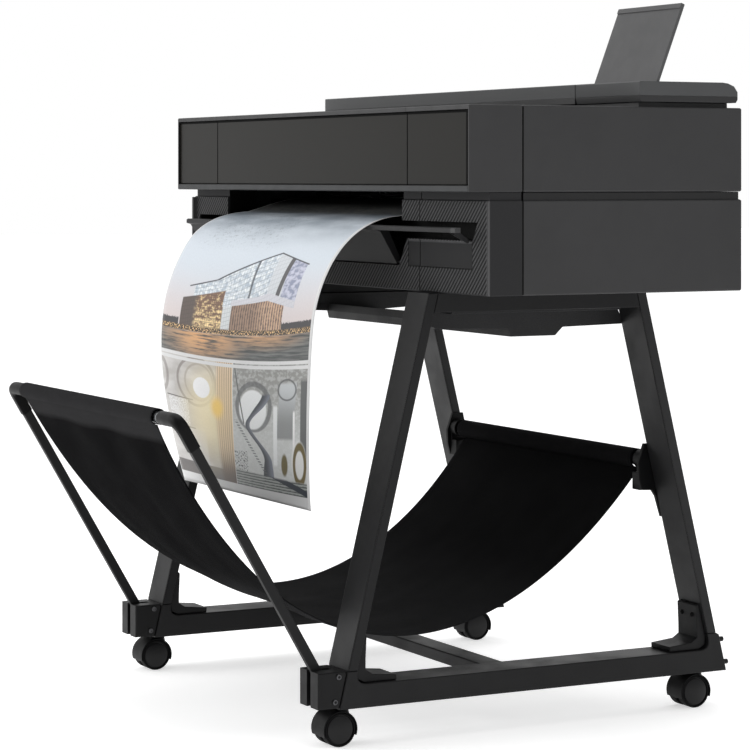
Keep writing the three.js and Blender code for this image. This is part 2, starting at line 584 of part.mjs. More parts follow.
function basketElbow() {
  const bend = 24;
  const [ay, az] = armPoint(ARM_LEN - 61);
  const [by, bz] = armPoint(ARM_LEN - bend);
  const [cy, cz] = armPoint(ARM_LEN);
  const path = new THREE.CurvePath();
  const corner = new THREE.Vector3(ARM_X, cy, cz);
  const low = new THREE.Vector3(ARM_X, by, bz);
  const high = new THREE.Vector3(ARM_X - bend, cy, cz);
  path.add(new THREE.LineCurve3(new THREE.Vector3(ARM_X, ay, az), low));
  path.add(new THREE.QuadraticBezierCurve3(low, corner, high));
  path.add(new THREE.LineCurve3(high, new THREE.Vector3(BASKET_HALF + 1, cy, cz)));
  const section = new THREE.Shape(disc(0, 0, 13.2, 14).map((p) => new THREE.Vector2(p[0], p[1])));
  const sweep = { steps: 14, extrudePath: path, bevelEnabled: false };
  const tube = solid(new THREE.ExtrudeGeometry(section, sweep));
  const [ny, nz] = [Math.cos(ARM_TILT) * 9.9, Math.sin(ARM_TILT) * 9.9];
  const [sy, sz] = armPoint(ARM_LEN - 80);
  const [ty, tz] = armPoint(ARM_LEN - 51.6);
  const socket = bar('x', [[sy - ny, sz - nz], [sy + ny, sz + nz], [ty + ny, tz + nz], [ty - ny, tz - nz]],
    ARM_X - 6.9, ARM_X + 6.9);
  const barBore = rod('x', cy, cz, BAR_R + GAP, 300, BASKET_HALF + 28, 16);
  return carve(tube, socket, barBore);
}

function frontBar() {
  const [y, z] = armPoint(ARM_LEN);
  const tube = rod('x', y, z, BAR_R, -BASKET_HALF - 27, BASKET_HALF + 27, 16);
  return mesh('basket_front_bar', tube, MAT.metal, [0, y, z]);
}

function rearBar() {
  const [y, z] = REAR_BAR;
  const tube = rod('x', y, z, 14, -BASKET_HALF - 20, BASKET_HALF + 20, 20);
  return mesh('basket_rear_bar', tube, MAT.steel, [0, y, z]);
}

// A plate on the inner face of the rear leg, with a boss round the bar and a lug below it.
function rearBarBracket() {
  const [y, z] = REAR_BAR;
  const outline = [[rearLegY(373) + 1, 373], [rearLegY(373) + LEG_T - 1, 373],
    [rearLegY(520) + LEG_T + 2, 520], [552, 520], [538.5, 482], [540, 450], [546, 428],
    [570.5, 426.8], [579.4, 414.4]];
  const plate = bar('x', outline, LEG_IN - 9, LEG_IN - GAP, 1);
  const lug = box(358, LEG_IN - 8, 546, 583, 427, 462, 1);
  const stay = box(LEG_IN - 16, LEG_IN - 8, 546, 583, 450, z, 0.5);
  const boss = rod('x', y, z, 20, 363, LEG_IN - 8, 20);
  const bore = rod('x', y, z, 14 + GAP, 340, 380, 20);
  return carve(fuse(plate, lug, stay, boss), bore);
}

// The cloth hangs in one curve between the two bars, with a sleeve round each.
function basketFabric() {
  const [fy, fz] = armPoint(ARM_LEN);
  const [ry, rz] = REAR_BAR;
  const hung = [[fy - 2, fz - BAR_R - 3], [-196, 80], [219, 26.5], [ry + 2, rz - 16]];
  const curve = new THREE.CubicBezierCurve(...hung.map((p) => new THREE.Vector2(...p)));
  const count = 34;
  const top = [];
  const low = [];
  for (let i = 0; i <= count; i += 1) {
    const p = curve.getPoint(i / count);
    const t = curve.getTangent(i / count);
    top.push([p.x - t.y, p.y + t.x]);
    low.push([p.x + t.y, p.y - t.x]);
  }
  const half = BASKET_HALF - 6;
  const hang = bar('x', [...low, ...top.reverse()], -half, half);
  const frontSleeve = bar('x', ring(fy, fz, 15.8, BAR_R + 0.5, 18), -BASKET_HALF, BASKET_HALF);
  const rearSleeve = bar('x', ring(ry, rz, 19.6, 14.5, 20), -352, 352);
  const clear = [rod('x', fy, fz, BAR_R + 0.5, -500, 500, 18), rod('x', ry, rz, 14.5, -500, 500, 20)];
  return mesh('basket_fabric', carve(fuse(hang, frontSleeve, rearSleeve), ...clear), MAT.fabric);
}

// ---------------------------------------------------------------- casters
function casterHood() {
  const z = WHEEL_R;
  const shell = bar('x', ring(TRAIL, z, 34.9, 32.9, 28), -27, 27);
  const floor = box(-40, 40, -80, 80, -20, z - 12);
  const web = rod('x', TRAIL, z, 33, -4.5, 4.5, 28);
  const hub = rod('z', 0, 0, 14, z + 22, RAIL_Z0 - 0.7, 20);
  const crown = fuse(hub, box(-14, 14, TRAIL - 4, 12, z + 22, RAIL_Z0 - 5));
  const stem = rod('z', 0, 0, 5, 58, RAIL_Z0 + 24, 16);
  const wheels = [rod('x', TRAIL, z, 32.5, 5, 26.6, 28), rod('x', TRAIL, z, 32.5, -26.6, -5, 28)];
  const axleBore = rod('x', TRAIL, z, 4.4, -10, 10, 14);
  const low = box(-40, 40, -80, 80, -20, z - 14);
  const frame = carve(fuse(carve(shell, floor), carve(web, low)), axleBore);
  return carve(fuse(frame, crown, stem), ...wheels);
}

function casterWheels() {
  const z = WHEEL_R;
  const tyre = (x0, x1) => bar('x', disc(TRAIL, z, WHEEL_R, 26), x0, x1, 2);
  return fuse(tyre(5.4, 26), tyre(-26, -5.4), rod('x', TRAIL, z, 4, -20, 20, 14));
}

function caster(label, x, y) {
  const hood = mesh(`caster_hood_${label}`, casterHood().translate([x, y, 0]), MAT.plastic, [x, y, RAIL_Z0]);
  const axle = [x, y + TRAIL, WHEEL_R];
  const wheels = mesh(`caster_wheels_${label}`, casterWheels().translate([x, y, 0]), MAT.rubber, axle);
  return [hood, wheels];
}

// ---------------------------------------------------------------- assembly
function pair(name, manifold, material) {
  return sides.map(([side, flip]) => mesh(`${name}_${side}`, flip(manifold), material));
}

const covers = group('covers', upperShell(), lowerShell(), frontFrame(), lowerTrim(),
  frontPanel('front_panel_left', -654.4, PANEL_SPLIT_L - 0.6, 1035.4, 1171.6), windowCover(), inkDoor(),
  bezelCentre(), bezelRight(), outputFlap(), rollCover(), feederHousing(), sheetSupport(), powerButton());

const mechanism = group('mechanism', chassis(), platen(), guideRod(), carriage(), driveBelt(), motor(),
  feedRoller(), pinchRollers(), spindle(), paperRoll(), inkTanks(), powerInlet(), printedSheet());

const stand = group('stand', pair('foot_rail', footRail(), MAT.steel),
  pair('front_leg', leg(frontLegY, SOCKET_FRONT + GAP, STAND_TOP), MAT.steel),
  pair('rear_leg', leg(rearLegY, SOCKET_REAR + GAP, STAND_TOP), MAT.steel),
  pair('top_beam', topBeam(), MAT.steel), lowerCrossBeam(), upperCrossBeam(),
  pair('front_bracket', cornerBracket(frontLegY, 1), MAT.plastic),
  pair('rear_bracket', cornerBracket(rearLegY, -1), MAT.plastic),
  pair('basket_clamp', clampBlock(), MAT.plastic));

const basket = group('basket', pair('basket_arm', basketArm(), MAT.steel),
  pair('basket_elbow', basketElbow(), MAT.plastic), frontBar(), rearBar(),
  pair('rear_bar_bracket', rearBarBracket(), MAT.plastic), basketFabric());

const casters = group('casters',
  caster('front_right', ARM_X, SWIVEL_Y[0]), caster('front_left', -ARM_X, SWIVEL_Y[0]),
  caster('rear_right', ARM_X, SWIVEL_Y[1]), caster('rear_left', -ARM_X, SWIVEL_Y[1]));

const plotter = group('plotter', covers, mechanism, stand, basket, casters);
plotter.position.set(0, DEPTH_SHIFT, 0);

export default group('large_format_plotter', plotter);
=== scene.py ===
# The looks of the large format plotter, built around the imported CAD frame.
# Metres throughout; sizes given to P() and its helpers are in millimetres.
import json
import math

import bmesh
import bpy
from mathutils import Matrix, Vector, noise


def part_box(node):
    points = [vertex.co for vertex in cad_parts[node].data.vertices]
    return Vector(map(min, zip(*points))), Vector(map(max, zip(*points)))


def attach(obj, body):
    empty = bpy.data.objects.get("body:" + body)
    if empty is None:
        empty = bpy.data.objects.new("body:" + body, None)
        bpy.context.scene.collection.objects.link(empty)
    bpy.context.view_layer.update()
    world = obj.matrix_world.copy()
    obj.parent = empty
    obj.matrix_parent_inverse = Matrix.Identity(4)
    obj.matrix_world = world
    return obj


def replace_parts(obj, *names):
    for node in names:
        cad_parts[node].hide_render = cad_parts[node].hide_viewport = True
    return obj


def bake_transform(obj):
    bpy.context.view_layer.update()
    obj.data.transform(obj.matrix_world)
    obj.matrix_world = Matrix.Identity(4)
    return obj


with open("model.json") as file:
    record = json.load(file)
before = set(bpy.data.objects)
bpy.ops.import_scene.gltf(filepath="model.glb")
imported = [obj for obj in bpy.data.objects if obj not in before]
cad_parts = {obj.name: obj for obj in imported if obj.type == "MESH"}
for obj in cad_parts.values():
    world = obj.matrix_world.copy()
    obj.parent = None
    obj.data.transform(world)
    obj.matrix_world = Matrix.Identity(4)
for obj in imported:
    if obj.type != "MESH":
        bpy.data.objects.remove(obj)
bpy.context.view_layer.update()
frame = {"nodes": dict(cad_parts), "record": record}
NODES = frame["nodes"]
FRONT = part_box("front_frame")[0].y      # plane of the machine's front, the zero of the y sizes below
SEAM_L = -0.451                         # joints between the three front panels, along x
SEAM_R = 0.417
SHEET_W = 0.709                         # width of the hanging print
CLOTH_HALF = 0.352                      # half the width of the basket cloth


def P(x, y, z):
    """A point given in millimetres, y counted back from the machine's front plane."""
    return Vector((x / 1000, FRONT + y / 1000, z / 1000))


# ------------------------------------------------------------------ camera, first of all
cam_data = bpy.data.cameras.new("photo_camera")
cam = bpy.data.objects.new("photo_camera", cam_data)
bpy.context.collection.objects.link(cam)
cam.location = P(4816.24, -2366.98, 1049.73)
cam.rotation_euler = (math.pi / 2, 0, math.radians(62.375))
cam_data.sensor_width = 36
cam_data.lens = 127.44
cam_data.shift_y = -0.26404
cam_data.clip_end = 100
bpy.context.scene.camera = cam


# ------------------------------------------------------------------ shader helpers
def lin(r, g, b):
    """8-bit sRGB to linear."""
    f = lambda c: c / 12.92 if c <= 0.04045 else ((c + 0.055) / 1.055) ** 2.4
    return (f(r / 255), f(g / 255), f(b / 255), 1.0)


class Val:
    """A shader value that takes plain arithmetic."""

    def __init__(self, tree, out):
        self.t, self.o = tree, out

    def op(self, kind, *others, clamp=False):
        n = self.t.nodes.new("ShaderNodeMath")
        n.operation, n.use_clamp = kind, clamp
        for i, v in enumerate((self,) + others):
            if isinstance(v, Val):
                self.t.links.new(v.o, n.inputs[i])
            else:
                n.inputs[i].default_value = v
        return Val(self.t, n.outputs[0])

    def __add__(a, b): return a.op("ADD", b)
    def __radd__(a, b): return a.op("ADD", b)
    def __sub__(a, b): return a.op("SUBTRACT", b)
    def __rsub__(a, b): return a.op("MULTIPLY", -1).op("ADD", b)
    def __mul__(a, b): return a.op("MULTIPLY", b)
    def __rmul__(a, b): return a.op("MULTIPLY", b)
    def __truediv__(a, b): return a.op("DIVIDE", b)
    def sin(a): return a.op("SINE")
    def abs(a): return a.op("ABSOLUTE")
    def sqrt(a): return a.op("SQRT")
    def wave(a, period): return (a * (math.tau / period)).sin()
    def saw(a, period): return (a / period).op("FRACT")
    def above(a, v): return a.op("GREATER_THAN", v)
    def below(a, v): return a.op("LESS_THAN", v)
    def max(a, v): return a.op("MAXIMUM", v)
    def min(a, v): return a.op("MINIMUM", v)

    def ramp(a, lo, hi, to_lo=0.0, to_hi=1.0):
        n = a.t.nodes.new("ShaderNodeMapRange")
        n.interpolation_type = "SMOOTHSTEP"
        a.t.links.new(a.o, n.inputs["Value"])
        for key, v in (("From Min", lo), ("From Max", hi), ("To Min", to_lo), ("To Max", to_hi)):
            n.inputs[key].default_value = v
        return Val(a.t, n.outputs["Result"])


class Look:
    """One procedural material."""

    def __init__(self, name, rough=0.5, metal=0.0, spec=0.5, **sockets):
        self.m = bpy.data.materials.new(name)
        self.m.use_nodes = True
        self.t = self.m.node_tree
        self.b = self.t.nodes["Principled BSDF"]
        self.set("Roughness", rough)
        self.set("Metallic", metal)
        self.set("Specular IOR Level", spec)
        for key, v in sockets.items():
            self.set(key.replace("_", " "), v)
        self.coord = self.t.nodes.new("ShaderNodeTexCoord")
        self.x, self.y, self.z = self.split("Object")

    def split(self, which):
        n = self.t.nodes.new("ShaderNodeSeparateXYZ")
        self.t.links.new(self.coord.outputs[which], n.inputs[0])
        return [Val(self.t, o) for o in n.outputs[:3]]

    def set(self, key, value):
        if isinstance(value, Val):
            self.t.links.new(value.o, self.b.inputs[key])
        else:
            self.b.inputs[key].default_value = value

    def noise(self, scale, detail=3.0, stretch=(1, 1, 1), which="Object", rough=0.55):
        s = self.t.nodes.new("ShaderNodeMapping")
        s.inputs["Scale"].default_value = stretch
        n = self.t.nodes.new("ShaderNodeTexNoise")
        n.inputs["Scale"].default_value = scale
        n.inputs["Detail"].default_value = detail
        n.inputs["Roughness"].default_value = rough
        self.t.links.new(self.coord.outputs[which], s.inputs["Vector"])
        self.t.links.new(s.outputs[0], n.inputs["Vector"])
        return Val(self.t, n.outputs["Fac"])

    def mix(self, fac, a, b):
        n = self.t.nodes.new("ShaderNodeMix")
        n.data_type = "RGBA"
        for key, v in ((0, fac), (6, a), (7, b)):
            if isinstance(v, Val):
                self.t.links.new(v.o, n.inputs[key])
            else:
                n.inputs[key].default_value = v
        return Val(self.t, n.outputs[2])

    def tint(self, a, b, fac):
        """Base colour between two tones."""
        c = self.mix(fac, a, b)
        self.set("Base Color", c)
        return c

    def bump(self, height, distance, strength=1.0):
        n = self.t.nodes.new("ShaderNodeBump")
        n.inputs["Distance"].default_value = distance
        n.inputs["Strength"].default_value = strength
        self.t.links.new(height.o, n.inputs["Height"])
        self.t.links.new(n.outputs[0], self.b.inputs["Normal"])
        return self


def shade(c, k):
    return (c[0] * k, c[1] * k, c[2] * k, 1.0)


def moulded(name, rgb, rough=0.5, grain=0.00006, scale=1500, spec=0.4, var=0.06, **kw):
    """Injection-moulded plastic: fine spark texture, faint cloudiness, slight roughness changes."""
    k = Look(name, rough, spec=spec, **kw)
    c = lin(*rgb)
    cloud = k.noise(5.0, 2.0)
    fine = k.noise(scale, 2.0)
    k.tint(shade(c, 1 - var), shade(c, 1 + var), (cloud * 0.7 + fine * 0.3).ramp(0.35, 0.65))
    k.set("Roughness", k.noise(30.0, 4.0).ramp(0.3, 0.7, rough - 0.04, rough + 0.05))
    k.bump(fine, grain)
    return k


def coated(name, rgb, rough=0.45, var=0.1, spec=0.45):
    """Powder-coated steel: orange peel, fine speckle, rubbed patches."""
    k = Look(name, rough, spec=spec)
    c = lin(*rgb)
    peel = k.noise(420.0, 2.0)
    rub = k.noise(14.0, 5.0)
    k.tint(shade(c, 1 - var), shade(c, 1 + var), (peel * 0.5 + rub * 0.5).ramp(0.4, 0.62))
    k.set("Roughness", rub.ramp(0.35, 0.7, rough - 0.06, rough + 0.07))
    k.bump(peel, 0.00012)
    return k


def metal(name, rgb, rough=0.3, along=(1, 60, 60)):
    """Drawn or ground steel with lines along one axis."""
    k = Look(name, rough, metal=1.0)
    c = lin(*rgb)
    lines = k.noise(40.0, 3.0, along)
    k.tint(shade(c, 0.85), shade(c, 1.1), lines.ramp(0.35, 0.65))
    k.set("Roughness", lines.ramp(0.3, 0.7, rough - 0.07, rough + 0.1))
    k.bump(lines, 0.00004)
    return k


TRIM = moulded("trim_grey", (58, 59, 60), 0.45, 0.00002, spec=0.15)
PLASTIC = moulded("black_plastic", (9, 9, 10), 0.46, 0.00008, 900, 0.12)
SUPPORT = moulded("support_grey", (72, 72, 73), 0.5)
STAND = coated("stand_black", (22, 22, 23), 0.5, 0.12, 0.22)
# Painted light: the rear legs get a lighter copy of the stand's coating, standing for the light on their
# sides.
REAR_LEG_LIT_COPY = coated("rear_leg_lit_copy", (27, 27, 28), 0.5, 0.12, 0.28)
# Painted light: the upper cross beam gets a lighter copy of the stand's coating, to look lit where the
# machine above shades it.
BEAM_LIT_COPY = coated("beam_lit_copy", (40, 40, 41), 0.55, 0.2, 0.2)
BRACKET = moulded("bracket_grey", (19, 19, 20), 0.5, 0.00006, 900, 0.2)
CLAMP = moulded("clamp_grey", (15, 15, 16), 0.48, 0.00006, 900, 0.2)
DARK = moulded("inner_black", (8, 8, 9), 0.7, spec=0.2)
TYRE = moulded("tyre_black", (10, 10, 11), 0.7, 0.0002, 500, 0.12)
DISC = moulded("wheel_disc", (16, 16, 17), 0.35, 0.00003, spec=0.25)
SCREW = metal("screw_zinc", (90, 90, 92), 0.35)
ZINC = metal("zinc_sheet", (140, 144, 148), 0.4, (30, 1, 30))
STEEL = metal("bright_steel", (170, 173, 176), 0.22)
RUBBER = moulded("roller_rubber", (24, 24, 25), 0.75, 0.0002, 700)
INK = moulded("ink_tank", (33, 34, 40), 0.35)


def near(a, at, wide):
    """Mask of a thin line at one coordinate."""
    return (a - at).abs().below(wide)


def shell_plastic():
    """Charcoal covers; the pocket behind the front panels is painted near black as shade."""
    k = moulded("shell_charcoal", (45, 45, 46), 0.52, spec=0.35)
    c = k.b.inputs["Base Color"].links[0].from_node
    # Painted shade: the walls of the pocket behind the front panels are coloured near black.
    pocket_shade = k.y.above(FRONT + 0.0012) * k.y.below(FRONT + 0.030) * k.x.abs().below(0.6556)\
        * k.z.above(1.0336)
    neck = k.z.above(1.0068) * k.z.below(1.0219)
    tone = k.mix(neck, Val(k.t, c.outputs[2]), lin(20, 20, 21))
    seam = near(k.x, SEAM_L, 0.0013).max(near(k.x, SEAM_R, 0.0013)) * k.y.below(FRONT + 0.012)
    seam = seam.max(near(k.y, FRONT + 0.1133, 0.0019))
    tone = k.mix(seam, tone, lin(6, 6, 6))
    k.set("Base Color", k.mix(pocket_shade * k.z.below(1.1732), tone, lin(5, 5, 5)))
    return k


def front_gloss():
    """Glossy front panels, with a painted dark shadow line at each joint, along the top and down the right
    edge.
    """
    k = moulded("front_gloss", (27, 26, 23), 0.3, 0.000008, 900, 0.09, 0.03)
    c = k.b.inputs["Base Color"].links[0].from_node
    line = near(k.x, SEAM_L, 0.0022).max(near(k.x, SEAM_R, 0.0022))\
        .max(k.z.above(1.1670)).max(k.x.above(0.6408))
    k.set("Base Color", k.mix(line, Val(k.t, c.outputs[2]), lin(6, 6, 6)))
    k.set("Roughness", line * 0.5 + 0.3)
    return k


def flap_plastic():
    """The output flap: a light lip, lighter still at its end block, over a blade painted dark as shade under
    the lip.
    """
    k = Look("flap_grey", 0.5, spec=0.15)
    fine = k.noise(1500.0, 2.0)
    lip = k.y.below(FRONT + 0.0075) * k.z.above(0.9455)
    block = lip * k.x.above(0.597)
    strut = k.x.above(0.586) * k.y.above(FRONT + 0.0075)
    # Painted shade: away from the lip, the blade under it is coloured near black.
    c = k.mix(lip, lin(20, 20, 21), k.mix(fine, lin(38, 38, 39), lin(44, 44, 45)))
    c = k.mix(block, c, lin(66, 66, 67))
    k.set("Base Color", k.mix(strut, c, lin(46, 46, 47)))
    k.bump(fine, 0.00006)
    return k


SHELL = shell_plastic()
GLOSS = front_gloss()
FLAP = flap_plastic()


def ribbed_bezel():
    """The lower front: 45 degree ribs, 11.2 mm apart along x, on the outer face only.

    The border, the neck and the inset fascia are smooth. The recess behind the flap, the slot and the low
    recess are painted nearly black as shade, the rib grooves and crests are painted dark and light, and
    light lines painted along the fascia's top and the outer border stand for highlights."""
    k = Look("bezel_ribbed", 0.55, spec=0.12)
    c = lin(40, 40, 41)
    rib = (k.x - k.z).wave(0.0112)
    face = k.y.below(FRONT + 0.0436)
    fascia = face * k.x.above(0.350) * k.x.below(0.5952) * k.z.above(0.8812) * k.z.below(0.9298)
    ribbed = face * k.y.below(FRONT + 0.0426) * k.x.abs().below(0.6495)\
        * k.z.below(1.0055) * k.z.above(0.8352)
    depth = rib.ramp(-0.5, 0.5) * ribbed
    fine = k.noise(1300.0, 2.0)
    # Painted shade and highlight: the rib grooves are coloured dark and the crests light.
    tone = k.mix(depth * 0.85 + fine * 0.15, shade(c, 0.12), shade(c, 2.6))
    plain = k.mix(fine, shade(c, 1.05), shade(c, 1.25))
    tone = k.mix(ribbed, plain, tone)
    # Painted highlight: the top band of the fascia, its shelf, is coloured light.
    tone = k.mix(fascia, tone, k.mix(k.z.above(0.9272), shade(c, 0.85), shade(c, 2.6)))
    edge = face * k.x.above(0.349) * k.x.below(0.5962)
    rim_highlight = edge * near(k.z, 0.9306, 0.0008)
    groove = near(k.z, 0.8802, 0.0012) * edge
    groove = groove.max(near(k.x, 0.5962, 0.0014) * face * k.z.above(0.8795) * k.z.below(0.931))
    side = face * k.x.abs().above(0.6495)
    # Painted highlight: a light line along the fascia's top rim and on the outer border strip.
    tone = k.mix(rim_highlight.max(side), tone, lin(78, 78, 79))
    dark = near(k.x.abs(), 0.6532, 0.0007) * face
    dark = dark.max(k.y.above(FRONT + 0.1114) * k.x.abs().above(0.650))
    dark = dark.max(near(k.x, 0.396, 0.0016)).max(groove)
    # Painted shade: the recess behind the flap, the slot above it and the low recess left of the fascia are
    # coloured near black, together with the dark joint lines.
    recess_shade = k.y.above(FRONT + 0.046) * k.z.above(0.930) * k.z.below(0.968) * k.x.abs().below(0.640)
    slot = k.y.above(FRONT + 0.048) * k.z.above(0.966) * k.x.abs().below(0.49)
    low = k.y.above(FRONT + 0.046) * k.z.above(0.878) * k.z.below(0.934)\
        * k.x.below(0.346) * k.x.above(-0.640)
    tone = k.mix(dark.max(recess_shade).max(slot).max(low), tone, lin(6, 6, 6))
    k.set("Base Color", tone)
    k.set("Roughness", depth.ramp(0.0, 1.0, 0.6, 0.44))
    k.bump(depth + fine * 0.06, 0.0007)
    return k


def two_tone_lid():
    """Lid: lighter cap above a parting line, darker skirt below."""
    k = Look("lid_two_tone", 0.5, spec=0.4)
    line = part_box("roll_cover")[0].z + 0.0121
    cap = k.z.above(line)
    fine = k.noise(1500.0, 2.0)
    cloud = k.noise(6.0, 2.0)
    k.set("Base Color", k.mix(cap, lin(33, 33, 34),
                              k.mix(cloud.ramp(0.35, 0.65), lin(60, 61, 62), lin(66, 67, 68))))
    groove = 1.0 - (k.z - line).abs().ramp(0.0002, 0.0007)
    k.set("Roughness", cloud.ramp(0.3, 0.7, 0.46, 0.55))
    k.bump(fine * 0.08 - groove, 0.0006)
    return k


BEZEL = ribbed_bezel()
LID = two_tone_lid()


def cloth():
    """Plain-woven black polyester; UV in metres."""
    k = Look("basket_cloth", 0.9, spec=0.02)
    u, v, _ = k.split("UV")
    warp, weft = u.wave(0.0014), v.wave(0.0014)
    over = (warp * weft).ramp(-0.5, 0.5)
    thread = warp.abs() * over + weft.abs() * (1.0 - over)
    slub = k.noise(900.0, 3.0, (1, 0.08, 1), "UV")
    cloud = k.noise(9.0, 4.0, (1, 1, 1), "UV")
    hem = u.abs().ramp(0.333, 0.3345) - u.abs().ramp(0.3365, 0.338)
    stitch = (u.abs() - 0.338).abs().below(0.0006) * v.saw(0.0045).below(0.68)
    weave = (thread * 0.6 + slub * 0.4).ramp(0.25, 0.8)
    c = k.mix(weave, lin(9, 9, 10), lin(27, 27, 28))
    c = k.mix(k.y.below(FRONT - 0.10) * k.y.above(FRONT - 0.455), c,
              k.mix(weave, lin(3, 3, 4), lin(13, 13, 14)))
    # Painted highlight on the hem round the front bar; the sling is also coloured lighter towards its
    # bottom.
    hem_highlight_and_lighter_bottom = (1.0 - k.z.ramp(0.17, 0.30)).max(1.0 - k.y.ramp(FRONT - 0.462, FRONT - 0.455))
    c = k.mix(hem_highlight_and_lighter_bottom * 0.9, c, k.mix(weave, lin(20, 20, 21), lin(54, 54, 55)))
    k.set("Base Color", k.mix(stitch, c, lin(34, 34, 35)))
    k.set("Roughness", cloud.ramp(0.3, 0.7, 0.82, 0.95))
    k.bump(thread * 0.25 + slub * 0.1 + cloud * 0.6 + hem * 0.2 + stitch * 0.3, 0.0007)
    return k


def artwork():
    """A generic architect's board: a lit building by water over two interior views.

    UV in metres, v from the bottom."""
    k = Look("printed_paper", 0.42, spec=0.3)
    u, v, _ = k.split("UV")
    x = u / SHEET_W

    def inside(d, soft=0.0012):
        """Mask from a signed distance, positive inside."""
        return d.ramp(-soft, soft)

    def band(a, lo, hi, soft=0.0012):
        return inside((a - lo).min(hi - a), soft)

    def ring(cx, cy, rx, ry, wide):
        r = (((x - cx) / rx).op("POWER", 2.0) + ((v - cy) / ry).op("POWER", 2.0)).sqrt()
        return 1.0 - (r - 1.0).abs().ramp(wide * 0.5, wide)

    def blob(cx, cy, rx, ry, soft=0.15):
        r = (((x - cx) / rx).op("POWER", 2.0) + ((v - cy) / ry).op("POWER", 2.0)).sqrt()
        return 1.0 - r.ramp(1 - soft, 1 + soft)

    fine = k.noise(240.0, 4.0, which="UV")
    mid = k.noise(60.0, 4.0, (1, 2, 1), "UV")
    soft = k.noise(9.0, 3.0, (0.6, 2, 1), "UV")
    # dusk sky, warm at the horizon
    sky = k.mix(v.ramp(0.34, 0.50), lin(216, 204, 202), lin(206, 214, 222))
    sky = k.mix(v.ramp(0.5, 0.62), sky, k.mix(soft.ramp(0.35, 0.7), lin(146, 156, 166), lin(196, 204, 212)))
    sky = k.mix((fine * 0.5 + mid * 0.5).ramp(0.52, 0.62)
                * band(x, 0.1, 0.6, 0.05) * band(v, 0.53, 0.66, 0.03) * 0.5,
                sky, lin(120, 128, 138))
    # building: a warm-lit hall at the left, a glazed box thrust out to the right over a recessed porch
    shoreline = 0.339 + x * 0.007
    ground = v - shoreline
    roofline = 0.412 + x * 0.1396
    ledge = (0.402 + (x - 0.463) * 0.066).min(0.417 - (x - 0.69) * 0.12)
    hall_box = inside((0.393 + x * 0.105 - v).min(ground)) * band(x, 0.123, 0.415)
    glazed = inside((roofline - v).min(v - ledge)) * band(x, 0.40, 0.673)
    left_leg = inside((roofline - v).min(ground)) * band(x, 0.405, 0.463)
    slab = inside((roofline - v).min(v - 0.393 - x * 0.105)) * band(x, 0.19, 0.41)
    flank = inside((0.506 - (x - 0.673) * 0.13 - v).min(v - ledge)) * band(x, 0.673, 0.862)
    tray = inside((ledge + 0.013 - v).min(v - ledge)) * band(x, 0.455, 0.862)
    recess = inside((ledge - v).min(ground)) * band(x, 0.463, 0.80)
    roof = inside(0.0015 - (v - roofline).abs(), 0.0008) * band(x, 0.15, 0.675)
    eave = inside(0.0013 - (v - 0.506 + (x - 0.673) * 0.13).abs(), 0.0008) * band(x, 0.673, 0.87)
    panes = (x * SHEET_W).saw(0.0115).below(0.14).max((v - x * 0.12).saw(0.0090).below(0.18))
    glass = k.mix(mid.ramp(0.35, 0.65), lin(176, 188, 200), lin(236, 240, 242))
    glass = k.mix(panes * 0.5, glass, lin(112, 122, 132))
    glass = k.mix(near(x, 0.562, 0.006) * 0.85, glass, lin(52, 58, 66))
    lit = k.mix((mid - (v - 0.34) * 2.2).ramp(0.32, 0.56), lin(122, 92, 74), lin(255, 226, 168))
    lit = k.mix(((x * SHEET_W).saw(0.0105).below(0.16)).max(v.saw(0.010).below(0.2)) * 0.55,
                lit, lin(84, 62, 50))
    lit = k.mix(x.ramp(0.20, 0.24), k.mix(panes * 0.3, lin(92, 80, 74), lin(60, 52, 48)), lit)
    porch = k.mix((mid * 0.6 + (x * SHEET_W).saw(0.011) * 0.4).ramp(0.3, 0.62),
                  lin(84, 70, 64), lin(204, 170, 142))
    porch = k.mix(x.ramp(0.60, 0.70), k.mix(0.5, porch, lin(92, 72, 64)), porch)
    pic = k.mix(recess, sky, porch)
    pic = k.mix(hall_box, pic, lit)
    pic = k.mix(left_leg, pic, k.mix(panes * 0.4, lin(214, 218, 220), lin(140, 146, 152)))
    pic = k.mix(glazed.max(slab), pic, glass)
    side_face = k.mix(x.above(0.765), k.mix(panes * 0.3, lin(206, 210, 214), lin(150, 156, 162)),
                      k.mix(mid.ramp(0.4, 0.6), lin(140, 146, 168), lin(196, 198, 214)))
    side_face = k.mix(band(x - (v - 0.44) * 0.3, 0.735, 0.760, 0.002), side_face, lin(84, 82, 84))
    pic = k.mix(flank, pic, side_face)
    pic = k.mix(tray, pic, k.mix(panes * 0.2, lin(206, 206, 212), lin(140, 142, 152)))
    pic = k.mix(roof.max(eave), pic, lin(58, 62, 68))
    # trees at both ends, people along the shore, then water
    trees = inside(0.014 + fine * 0.014 - ground) * inside(ground + 0.004)\
        * (x.below(0.115).max(x.above(0.80)))
    pic = k.mix(trees, pic, lin(66, 64, 66))
    shore = inside(0.0065 - (ground - 0.002).abs() - (0.5 - fine).abs() * 0.012, 0.0016)
    pic = k.mix(shore, pic, k.mix(fine.ramp(0.50, 0.60), lin(50, 42, 38), lin(250, 208, 148)))
    glow = blob(0.30, 0.334, 0.20, 0.042, 0.9).max(blob(0.66, 0.338, 0.2, 0.020, 0.9) * 0.7)
    ripple = k.noise(34.0, 5.0, (0.3, 6, 1), "UV")
    water = k.mix(ripple.ramp(0.32, 0.68), lin(66, 70, 70), lin(122, 124, 122))
    water = k.mix(glow * ripple.ramp(0.32, 0.58), water, lin(226, 172, 118))
    pic = k.mix(inside(-0.004 - ground, 0.002), pic, water)
